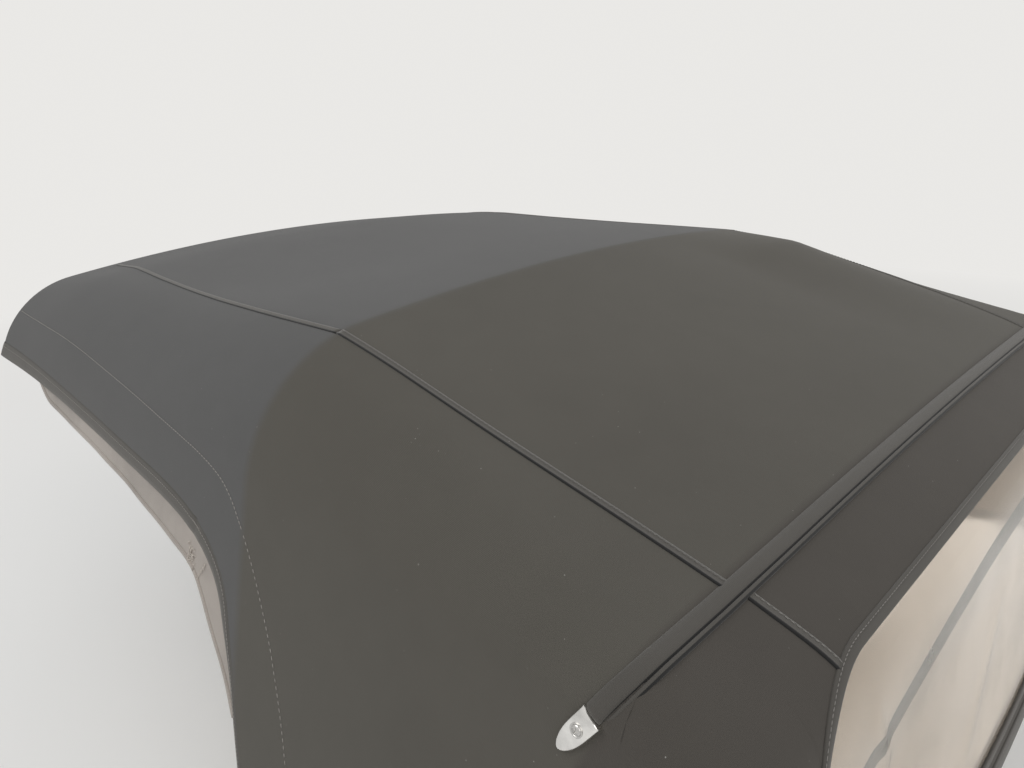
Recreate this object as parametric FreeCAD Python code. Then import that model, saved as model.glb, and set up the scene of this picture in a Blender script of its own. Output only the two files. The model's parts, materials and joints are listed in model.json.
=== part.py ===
"""Folding soft top of a two-seat convertible car.

Millimetres. +X points to the front of the car, +Y to its left and +Z up. The origin is the
centre of the four bolts that hold the two pivot brackets, on the underside of their feet.
"""
import FreeCAD, Part
import math
import os

Vec = FreeCAD.Vector
os.makedirs("parts", exist_ok=True)

# Linkage, in the side view (x, z). Both arms of one side turn at the bracket's main pin.
PIVOT = (0.0, 70.0)
KNEE = (250.0, 490.0)
CONTROL_OFFSET = 64.0
CONTROL_ANGLE = 27.0
MAIN_FOLD = 90.0
ARM_ELBOW = (-160.0, 477.0)
REAR_BOW_FOOT = 490.0
control_dx = CONTROL_OFFSET * math.cos(math.radians(CONTROL_ANGLE))
control_dz = CONTROL_OFFSET * math.sin(math.radians(CONTROL_ANGLE))
LINK_ANGLE = math.degrees(math.atan2(KNEE[1] - PIVOT[1], KNEE[0] - PIVOT[0]))
CONTROL_LOW = (PIVOT[0] + control_dx, PIVOT[1] + control_dz)
CONTROL_HIGH = (KNEE[0] + control_dx, KNEE[1] + control_dz)

# Layers across the car, from the centre line outwards: inner face and outer face
REAR_ARM = (439.0, 445.0)
CONTROL_LINK = (458.0, 464.0)
MAIN_LINK = (472.0, 480.0)
SIDE_RAIL = (486.0, 502.0)
INNER_PLATE = (424.0, 430.0)
OUTER_PLATE = (488.0, 494.0)

# Roof sections: x, crown height, crown radius, shoulder radius, side half-width at SIDE_Z, side lean
SIDE_Z = 513.0
REAR_BOW = (-250.0, 594.0, 10000.0, 42.0, 513.0, 12.5)
MID_BOW = (197.0, 698.0, 3700.0, 168.0, 513.0, 12.5)
HEADER_REAR = (790.0, 679.0, 3560.0, 153.0, 541.0, 11.0)
HEADER_FRONT = (980.0, 654.5, 3415.0, 153.0, 554.5, 12.0)
HEADER_PLAN_RADIUS = 3220.0
HEADER_TIP_X = 976.0
HEADER_FOOT = 566.0
DECK_HEM = 485.0
SEAM_Y = 385.0
QUARTER_TIP = 260.0

# Belt line, where the cloth meets the body, and the back of the top
BELT_FRONT = (120.0, 120.0)
BELT_SLOPE = 115.0 / 490.0
BELT_TURN_X = REAR_BOW[0]
REAR_X = -375.0

# Cloth and trim
CLOTH = 4.0
GAP = 0.5
RAIL_HEIGHT = 20.0
WEBBING = (4.4, 6.4)
WEBBING_Y = 205.0
WEBBING_WIDTH = 50.0
LINING = 1.5
LINING_GAP = 0.3
LINING_TUCK = 12.0
LINING_DROP = 52.0
LINING_FRONT = 790.0
LINING_FOOT = 290.0
WELT_TOP = 5.0
# Side view of the welt's left end: it runs down the side and swings forward to its tip
WELT_SIDE = ((-261.0, 640.0), (-261.0, 592.0), (-256.0, 577.0), (-238.0, 553.4), (-224.5, 561.4), (-241.0, 583.0), (-244.0, 596.0), (-244.0, 640.0))
WELT_FOOT = 545.0
TIP_X = -230.5
TIP_Z = 556.5
TIP_SWING = 32.0
TUBE = 9.0
BOW_INSET = WEBBING[1] + GAP + TUBE

# Fasteners and pins
CATCH_Y = 330.0
DOWEL_X = 951.0
DOWEL_Y = 400.0
DOWEL_Z = 619.0
PIN = 6.0
RUNNING = 0.05
LOOSE = 0.3
STOP_PIN = 4.5
STOP_REACH = 46.0
BOLT_HOLE = 4.5
BOLT_X = 45.0
BOLT_Y = 515.0


def save(shape, node):
    """Write one node's STEP file and print its volume."""
    shape.exportStep("parts/%s.step" % node)
    print("%-22s %10.1f cm3  valid %s" % (node, shape.Volume / 1000.0, shape.isValid()))


def mirrored(shape):
    """The same piece on the right-hand side."""
    return shape.mirror(Vec(0, 0, 0), Vec(0, 1, 0))


def save_pair(shape, node):
    """A left piece and its mirror image on the right."""
    save(shape, node + "_left")
    save(mirrored(shape), node + "_right")


def side_y(z, half_width=513.0, lean=12.5):
    """Half-width of the leaning side wall at height z."""
    return half_width + math.tan(math.radians(lean)) * (SIDE_Z - z)


def belt_z(x):
    """Height of the belt line at x."""
    return BELT_FRONT[1] + BELT_SLOPE * (BELT_FRONT[0] - x)


def arch_points(crown, crown_r, shoulder_r, foot_y, foot_t, lean, base_t, inset):
    """Key points (y, t) of half an arch: side line, shoulder arc and crown arc, all tangent."""
    down = (math.sin(math.radians(lean)), -math.cos(math.radians(lean)))
    out = (-down[1], down[0])
    centre_t = crown - crown_r
    base = (foot_y - shoulder_r * out[0], foot_t - shoulder_r * out[1])
    reach = crown_r - shoulder_r
    half_b = base[0] * down[0] + (base[1] - centre_t) * down[1]
    rest = base[0] ** 2 + (base[1] - centre_t) ** 2 - reach ** 2
    s = -half_b - math.sqrt(half_b ** 2 - rest)
    centre = (base[0] + s * down[0], base[1] + s * down[1])
    up = (centre[0] / reach, (centre[1] - centre_t) / reach)
    mid = (up[0] + out[0], up[1] + out[1])
    size = math.hypot(*mid)
    r = shoulder_r - inset
    joint = (centre[0] + r * up[0], centre[1] + r * up[1])
    middle = (centre[0] + r * mid[0] / size, centre[1] + r * mid[1] / size)
    side = (centre[0] + r * out[0], centre[1] + r * out[1])
    drop = (side[1] - base_t) / -down[1]
    foot = (side[0] + drop * down[0], base_t)
    return foot, side, middle, joint, (0.0, crown - inset)


def arch_edges(points, place):
    """Edges of a whole arch, from its left foot over the crown to its right foot."""
    foot, side, middle, joint, top = points
    left = [place(*p) for p in (foot, side, middle, joint, top)]
    right = [place(-y, t) for y, t in (joint, middle, side, foot)]
    return [
        Part.LineSegment(left[0], left[1]).toShape(),
        Part.Arc(left[1], left[2], left[3]).toShape(),
        Part.Arc(left[3], left[4], right[0]).toShape(),
        Part.Arc(right[0], right[1], right[2]).toShape(),
        Part.LineSegment(right[2], right[3]).toShape(),
    ]


def band_wire(outer, inner):
    """Closed wire round the band between two arches that run side by side."""
    ends = [
        Part.LineSegment(outer[-1].Vertexes[-1].Point, inner[-1].Vertexes[-1].Point).toShape(),
        Part.LineSegment(inner[0].Vertexes[0].Point, outer[0].Vertexes[0].Point).toShape(),
    ]
    return Part.Wire(Part.__sortEdges__(outer + [ends[0]] + inner + [ends[1]]))


def roof_section(station, hem, inset):
    """Arch edges of the roof at one of the stations, inset from the cloth's outer face."""
    x, crown, crown_r, shoulder_r, half_width, lean = station
    points = arch_points(crown, crown_r, shoulder_r, half_width, SIDE_Z, lean, hem, inset)
    return arch_edges(points, lambda y, t: Vec(x, y, t))


def roof_shell(stations, hem, inset, depth):
    """Thin shell over the stations, from its inset to its inset plus depth."""
    wires = [band_wire(roof_section(s, hem, inset), roof_section(s, hem, inset + depth)) for s in stations]
    return Part.makeLoft(wires, True, True)


def extrude_xz(points, y0, y1):
    """Prism between y0 and y1 over a side-view outline: 2 numbers a corner, 4 for an arc's middle and end."""
    edges = []
    start = Vec(points[0][0], y0, points[0][1])
    first = start
    for p in points[1:]:
        end = Vec(p[-2], y0, p[-1])
        if len(p) == 4:
            edges.append(Part.Arc(start, Vec(p[0], y0, p[1]), end).toShape())
        else:
            edges.append(Part.LineSegment(start, end).toShape())
        start = end
    if (start - first).Length > 1e-6:
        edges.append(Part.LineSegment(start, first).toShape())
    return Part.Face(Part.Wire(edges)).extrude(Vec(0, y1 - y0, 0))


def rod(x, z, radius, y0, y1):
    """Round bar along Y."""
    return Part.makeCylinder(radius, y1 - y0, Vec(x, y0, z), Vec(0, 1, 0))


def eye_bar(a, b, ra, rb, layer):
    """Flat bar with a round eye at each end: two arcs and their outer tangents."""
    dx, dz = b[0] - a[0], b[1] - a[1]
    length = math.hypot(dx, dz)
    along = math.atan2(dz, dx)
    tilt = math.acos((ra - rb) / length)
    left, right = along + tilt, along - tilt

    def rim(c, r, angle):
        return c[0] + r * math.cos(angle), c[1] + r * math.sin(angle)

    outline = [
        rim(a, ra, left),
        rim(a, ra, along + math.pi) + rim(a, ra, right),
        rim(b, rb, right),
        rim(b, rb, along) + rim(b, rb, left),
    ]
    return extrude_xz(outline, layer[0], layer[1])


def half_space_plan():
    """Everything behind the header's curved front edge, seen from above."""
    return Part.makeCylinder(HEADER_PLAN_RADIUS, 1000.0, Vec(HEADER_TIP_X - HEADER_PLAN_RADIUS, 0, 0))


def slab(x0, x1, y0=-700.0, y1=700.0, z0=-100.0, z1=900.0):
    """Box between two stations along X."""
    return Part.makeBox(x1 - x0, y1 - y0, z1 - z0, Vec(x0, y0, z0))


def window_outline(grow):
    """Side-view outline of the side window's opening, larger by grow upwards and to the back."""
    return [
        (1000.0, 552.0 + grow),
        (700.0, 537.0 + grow),
        (430.0, 511.0 + grow),
        (325.0, 495.0 + grow),
        (257.0 - 0.7 * grow, 469.0 + 0.7 * grow, 218.0 - grow, 425.0),
        (178.0 - grow, 287.0),
        (BELT_FRONT[0] - grow, BELT_FRONT[1]),
        (BELT_FRONT[0] - grow - 20.0, 60.0),
        (1000.0, 60.0),
    ]


def window_prism(grow):
    return extrude_xz(window_outline(grow), -700.0, 700.0)


def bracket():
    """Left pivot bracket: foot, two upright plates, a stop and a wing out to the belt rail."""
    foot = Part.makeBox(150, 118, 6, Vec(-65, 420, 0))
    for x in (-BOLT_X, BOLT_X):
        foot = foot.cut(Part.makeCylinder(BOLT_HOLE, 20, Vec(x, BOLT_Y, -5)))
    upright = [
        (-60.0, 3.0),
        (-60.0, 68.0),
        (-40.0, 94.0, 0.0, 98.0),
        (20.0, 100.0),
        (50.0, 118.0),
        (66.0, 118.0, 76.0, 100.0),
        (78.0, 3.0),
    ]
    body = foot
    for layer in (INNER_PLATE, OUTER_PLATE):
        body = body.fuse(extrude_xz(upright, layer[0], layer[1]))
    wing = Part.makeBox(60, side_y(belt_z(0)) - 9.0 - OUTER_PLATE[0], 5, Vec(-20, OUTER_PLATE[0], 84))
    tab_y = side_y(belt_z(0)) - 14.0
    tab = Part.makeBox(60, 5, 50, Vec(-20, tab_y, 84))
    body = body.fuse(wing).fuse(tab)
    for angle, side in ((LINK_ANGLE, -1.0), (LINK_ANGLE + MAIN_FOLD, 1.0)):
        a = math.radians(angle)
        off = side * (STOP_PIN + 19.0)
        x = PIVOT[0] + STOP_REACH * math.cos(a) - off * math.sin(a)
        z = PIVOT[1] + STOP_REACH * math.sin(a) + off * math.cos(a)
        body = body.fuse(rod(x, z, STOP_PIN, MAIN_LINK[0] - 3.0, OUTER_PLATE[0] + 1.0))
    return body.removeSplitter()


def pins(centre, y0, y1, head_side):
    """Shouldered pin with a flat head at one end."""
    head_y = y1 if head_side > 0 else y0 - 4.0
    return rod(centre[0], centre[1], PIN, y0, y1).fuse(rod(centre[0], centre[1], PIN + 4.0, head_y, head_y + 4.0))


def bored(shape, centre, clearance):
    """The shape with a pin's hole through it."""
    return shape.cut(rod(centre[0], centre[1], PIN + clearance, 300.0, 700.0))


def belt_rail():
    """Flat steel rail that carries the cloth's lower edge, round the back from side to side."""
    slope = math.atan(BELT_SLOPE)
    back = (BELT_FRONT[0] - REAR_X) / math.cos(slope)

    def place(y, t):
        return Vec(BELT_FRONT[0] - t * math.cos(slope), y, BELT_FRONT[1] + t * math.sin(slope))

    wires = []
    for lift in (0.0, RAIL_HEIGHT):
        arches = []
        for inset in (CLOTH + 0.5, CLOTH + 3.5):
            lean_in = inset + lift * math.tan(math.radians(REAR_BOW[5] + 1.0))
            pts = arch_points(back, 6000.0, 110.0, side_y(BELT_FRONT[1]), 0.0, 2.9, 25.0, lean_in)
            arches.append(arch_edges(pts, place))
        wire = band_wire(arches[0], arches[1])
        wire.translate(Vec(math.sin(slope), 0, math.cos(slope)) * lift)
        wires.append(wire)
    return Part.makeLoft(wires, True, True)


# Back of the top: fan of planes about the belt's turning point, angle, reach, shoulder radius, side lean
FAN = (
    (90.0, None, 42.0, 12.5),
    (101.5, 362.0, 48.0, 11.8),
    (112.0, 248.0, 58.0, 10.0),
    (136.0, 152.0, 76.0, 8.0),
    (166.8, 129.0, 96.0, 2.9),
)


def fan_shell(inset, depth):
    """Shell of the back, curtain and rear corners, behind the rear bow."""
    base_z = belt_z(BELT_TURN_X)
    wires = []
    for angle, reach, shoulder_r, lean in FAN:
        direction = (math.cos(math.radians(angle)), math.sin(math.radians(angle)))

        def place(y, t, d=direction):
            return Vec(BELT_TURN_X + t * d[0], y, base_z + t * d[1])

        crown = REAR_BOW[1] - base_z if reach is None else reach
        crown_r = REAR_BOW[2] if reach is None else 6000.0
        arches = []
        for offset in (inset, inset + depth):
            pts = arch_points(crown, crown_r, shoulder_r, side_y(base_z), 0.0, lean, 0.0, offset)
            arches.append(arch_edges(pts, place))
        wires.append(band_wire(arches[0], arches[1]))
    return Part.makeLoft(wires, True, True)


def rear_pane(grow):
    """Prism through the rear window, a rounded rectangle seen from behind."""
    y, low, high, r = 398.0 + grow, 275.0 - grow, 563.0 + grow, 62.0 + grow
    box = Part.makeBox(300, 2 * y, high - low, Vec(-500, -y, low))
    edges = [e for e in box.Edges if abs(e.Vertexes[0].Y - e.Vertexes[-1].Y) + abs(e.Vertexes[0].Z - e.Vertexes[-1].Z) < 1e-6]
    return box.makeFillet(r, edges)


def tube_arch(station, hem, inset, radius, shoulder_r=None, half_width=None):
    """Round tube bent along an arch at one station."""
    x, crown, crown_r, station_shoulder, station_width, lean = station
    if half_width is None:
        points = arch_points(crown, crown_r, station_shoulder, station_width, SIDE_Z, lean, hem, inset)
    else:
        points = arch_points(crown, crown_r, shoulder_r, half_width, SIDE_Z, 0.0, hem, inset)
    path = Part.Wire(arch_edges(points, lambda y, t: Vec(x, y, t)))
    start = path.Edges[0].Vertexes[0].Point
    ring = Part.Wire(Part.makeCircle(radius, start, path.Edges[0].tangentAt(0)))
    return path.makePipeShell([ring], True, True)


def box_rail(stations, width, height, y_shift=0.0, z_shift=0.0):
    """Straight-sided rail through x, y, z stations."""
    wires = []
    for x, y, z in stations:
        y0, y1 = y + y_shift - width / 2.0, y + y_shift + width / 2.0
        z0, z1 = z + z_shift - height / 2.0, z + z_shift + height / 2.0
        wires.append(Part.makePolygon([Vec(x, y0, z0), Vec(x, y1, z0), Vec(x, y1, z1), Vec(x, y0, z1), Vec(x, y0, z0)]))
    return Part.makeLoft(wires, True, True)


# Pivot brackets, with their pins and the belt rail
save_pair(bored(bored(bracket(), PIVOT, 0.0), CONTROL_LOW, 0.0), "bracket")
save_pair(pins(PIVOT, INNER_PLATE[0], OUTER_PLATE[1], 1), "pivot_pin")
save_pair(pins(CONTROL_LOW, INNER_PLATE[0], CONTROL_LINK[1] + 1.0, -1), "control_pin")
save(belt_rail(), "belt_rail")

# Links
main_link = eye_bar(PIVOT, KNEE, 19.0, 15.0, MAIN_LINK)
main_link = bored(main_link, PIVOT, RUNNING).cut(rod(KNEE[0], KNEE[1], PIN, 400, 500))
save_pair(main_link, "main_link")
save_pair(pins(KNEE, MAIN_LINK[0], SIDE_RAIL[1], 1), "knee_pin")
control_link = eye_bar(CONTROL_LOW, CONTROL_HIGH, 12.0, 11.0, CONTROL_LINK)
save_pair(bored(bored(control_link, CONTROL_LOW, RUNNING), CONTROL_HIGH, LOOSE), "control_link")

# Rear hoop: tube over the back, with a flat arm down each side to the main pin
rear_width = (REAR_ARM[0] + REAR_ARM[1]) / 2.0 + BOW_INSET
rear_tube = tube_arch(REAR_BOW, REAR_BOW_FOOT, BOW_INSET, TUBE, 75.0, rear_width)
rear_arm = eye_bar(PIVOT, ARM_ELBOW, 16.0, 13.0, REAR_ARM)
rear_arm = rear_arm.fuse(eye_bar(ARM_ELBOW, (REAR_BOW[0], REAR_BOW_FOOT + 15.0), 13.0, 12.0, REAR_ARM))
rear_arm = bored(rear_arm.removeSplitter(), PIVOT, RUNNING)
save(rear_tube.cut(rear_arm).cut(mirrored(rear_arm)), "rear_bow")
save_pair(rear_arm, "rear_arm")

# Front frame: side rails with their knee lugs, middle bow and header
RAIL_LINE = (
    (185.0, 494.0, 512.0),
    (330.0, 494.0, 531.0),
    (400.0, 496.0, 539.0),
    (700.0, 506.0, 551.0),
    (850.0, 507.0, 560.0),
)
rail = box_rail(RAIL_LINE, 16.0, 26.0)
lug = eye_bar(KNEE, CONTROL_HIGH, 17.0, 13.0, SIDE_RAIL)
rail = bored(rail.fuse(lug).removeSplitter(), KNEE, RUNNING).cut(
    rod(CONTROL_HIGH[0], CONTROL_HIGH[1], PIN, 450, 520)
)
mid_bow = tube_arch(MID_BOW, 512.0, BOW_INSET, TUBE)
save_pair(rail, "side_rail")
save_pair(pins(CONTROL_HIGH, CONTROL_LINK[0] - 1.0, SIDE_RAIL[1], 1), "link_pin")
save(mid_bow.cut(rail).cut(mirrored(rail)), "middle_bow")
header_stations = (HEADER_REAR, HEADER_FRONT)
header = roof_shell(header_stations, DECK_HEM, CLOTH + GAP, 22.0).common(half_space_plan())
header = header.common(slab(800.0, 1000.0, z0=HEADER_FOOT))
header = header.cut(rail).cut(mirrored(rail))
for y in (-DOWEL_Y, DOWEL_Y):
    dowel = Part.makeCylinder(5.0, 26.0, Vec(DOWEL_X - 20.0, y, DOWEL_Z), Vec(1, 0, 0))
    header = header.fuse(dowel.fuse(Part.makeCone(5.0, 3.0, 6.0, Vec(DOWEL_X + 6.0, y, DOWEL_Z), Vec(1, 0, 0))))
save(header, "header")
# Seal, catches and locating pins of the header
seal_rim = half_space_plan()
seal_rim.translate(Vec(-8.0, 0, 0))
inner_rim = half_space_plan()
inner_rim.translate(Vec(-20.0, 0, 0))
header_seal = roof_shell(header_stations, DECK_HEM, CLOTH + GAP + 22.0, 7.0)
header_seal = header_seal.common(seal_rim).cut(inner_rim).common(slab(700.0, 1000.0, z0=HEADER_FOOT + 25.0))
save(header_seal, "header_seal")
catch_z = HEADER_FRONT[1] - CLOTH - GAP - 22.0 - 17.0
body = slab(850.0, 905.0, CATCH_Y - 14.0, CATCH_Y + 14.0, catch_z - 12.0, catch_z + 6.0)
lever = slab(800.0, 862.0, CATCH_Y - 9.0, CATCH_Y + 9.0, catch_z - 16.0, catch_z - 10.0)
hook = extrude_xz(
    [(890.0, catch_z - 8.0), (950.0, catch_z - 8.0), (968.0, catch_z - 20.0, 958.0, catch_z - 38.0),
     (950.0, catch_z - 36.0), (956.0, catch_z - 24.0, 944.0, catch_z - 18.0), (890.0, catch_z - 18.0)],
    CATCH_Y - 4.0, CATCH_Y + 4.0,
)
save_pair(body.fuse(lever).fuse(hook).removeSplitter(), "catch")
seal_line = [(x, y, z) for x, y, z in RAIL_LINE[1:]]
save_pair(box_rail(seal_line, 12.0, 12.0, 0.0, -19.5), "rail_seal")

# Cloth panels, cut where they are sewn to each other
deck = roof_shell((MID_BOW, HEADER_REAR, HEADER_FRONT), DECK_HEM, 0.0, CLOTH)
deck = deck.common(half_space_plan()).cut(window_prism(0.0))
save(deck, "front_deck")
rear_shell = roof_shell((REAR_BOW, MID_BOW), BELT_FRONT[1] - 60.0, 0.0, CLOTH)
rear_deck = rear_shell.common(slab(REAR_BOW[0] + GAP, MID_BOW[0] - GAP, -SEAM_Y + 0.2, SEAM_Y - 0.2, 400.0))
save(rear_deck, "rear_deck")
share = (QUARTER_TIP - MID_BOW[0]) / (HEADER_REAR[0] - MID_BOW[0])
QUARTER_FRONT = tuple(a + (b - a) * share for a, b in zip(MID_BOW, HEADER_REAR))
front_wall = roof_shell((MID_BOW, QUARTER_FRONT), BELT_FRONT[1] - 60.0, 0.0, CLOTH)
above_belt = extrude_xz(
    [
        (BELT_TURN_X, belt_z(BELT_TURN_X)),
        (BELT_TURN_X, 800.0),
        (MID_BOW[0] - GAP, 800.0),
        (MID_BOW[0] - GAP, DECK_HEM - GAP),
        (QUARTER_TIP, DECK_HEM - GAP),
        (QUARTER_TIP, belt_z(QUARTER_TIP)),
    ],
    SEAM_Y + 0.2,
    700.0,
)
quarter = rear_shell.common(above_belt).fuse(front_wall.common(above_belt))
quarter = quarter.cut(window_prism(0.0))
save_pair(quarter, "quarter")
left_half = slab(-400.0, 1000.0, y0=300.0)
flap = window_prism(LINING_TUCK).cut(window_prism(-LINING_DROP))
upper = roof_shell((MID_BOW, HEADER_REAR, HEADER_FRONT), DECK_HEM, CLOTH + LINING_GAP, LINING)
upper = upper.common(flap).common(left_half).common(slab(200.0, LINING_FRONT))
save_pair(upper, "front_lining")
lower_stations = ((60.0,) + MID_BOW[1:], MID_BOW, QUARTER_FRONT)
lower = roof_shell(lower_stations, BELT_FRONT[1] - 60.0, CLOTH + LINING_GAP, LINING)
lower = lower.common(flap).common(slab(100.0, 260.0, y0=300.0, z0=LINING_FOOT, z1=DECK_HEM - GAP))
save_pair(lower, "post_lining")
curtain = fan_shell(0.0, CLOTH)
save(curtain.cut(rear_pane(0.0)), "rear_curtain")
save(fan_shell(1.5, 1.0).common(rear_pane(0.0)), "rear_window")
binding = fan_shell(-1.5, 1.2).common(rear_pane(5.0)).cut(rear_pane(-6.0))
save(binding, "window_binding")

# Welt over the rear bow, between its two metal tips
welt_front = roof_shell((REAR_BOW, MID_BOW), WELT_FOOT, -WELT_TOP, WELT_TOP - 0.4)
welt_front = welt_front.common(slab(REAR_BOW[0], MID_BOW[0]))
welt_rear = fan_shell(-WELT_TOP, WELT_TOP - 0.4).common(slab(REAR_X, REAR_BOW[0], z0=WELT_FOOT))
welt_band = extrude_xz(list(WELT_SIDE), -700.0, 700.0)
welt = welt_front.common(welt_band).fuse(welt_rear.common(welt_band)).removeSplitter()
save(welt, "welt")

tip = extrude_xz([(0.0, -8.0), (18.0, -8.0), (33.0, -6.2, 40.0, 0.0), (33.0, 6.2, 18.0, 8.0), (0.0, 8.0)], 0.0, 7.0)
tip = tip.makeChamfer(3.0, [e for e in tip.Edges if min(v.Y for v in e.Vertexes) > 6.9 and e.BoundBox.XMax > 1.0])
tip = tip.cut(rod(14.0, 0.0, 2.0, -1.0, 8.0))
lean = math.radians(REAR_BOW[5])
swing = math.radians(TIP_SWING)
down = Vec(0, math.sin(lean), -math.cos(lean))
run = down * math.cos(swing) + Vec(1, 0, 0) * math.sin(swing)
out = Vec(0, math.cos(lean), math.sin(lean))
across = out.cross(run)
place = FreeCAD.Matrix(
    run.x, out.x, -across.x, TIP_X,
    run.y, out.y, -across.y, side_y(TIP_Z) + 0.4,
    run.z, out.z, -across.z, TIP_Z,
    0, 0, 0, 1,
)
tip.Placement = FreeCAD.Placement(place)
save_pair(tip, "welt_tip")

# Webbing between the bows, under the cloth
for side, y in (("left", WEBBING_Y), ("right", -WEBBING_Y)):
    low, high = y - WEBBING_WIDTH / 2.0, y + WEBBING_WIDTH / 2.0
    thick = WEBBING[1] - WEBBING[0]
    front = roof_shell((MID_BOW, HEADER_REAR), DECK_HEM, WEBBING[0], thick)
    save(front.common(slab(MID_BOW[0], 799.0, low, high, 600.0)), "front_strap_" + side)
    rear = roof_shell((REAR_BOW, MID_BOW), DECK_HEM, WEBBING[0], thick)
    save(rear.common(slab(REAR_BOW[0] + GAP, MID_BOW[0] - GAP, low, high, 550.0)), "rear_strap_" + side)
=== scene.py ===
"""Looks of a folding soft top for an open two-seat car: sewn cloth, clear rear pane, welt, trim and painted frame.

Metres. +X points to the front of the car, +Y to its left and +Z up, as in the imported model.
"""

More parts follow.
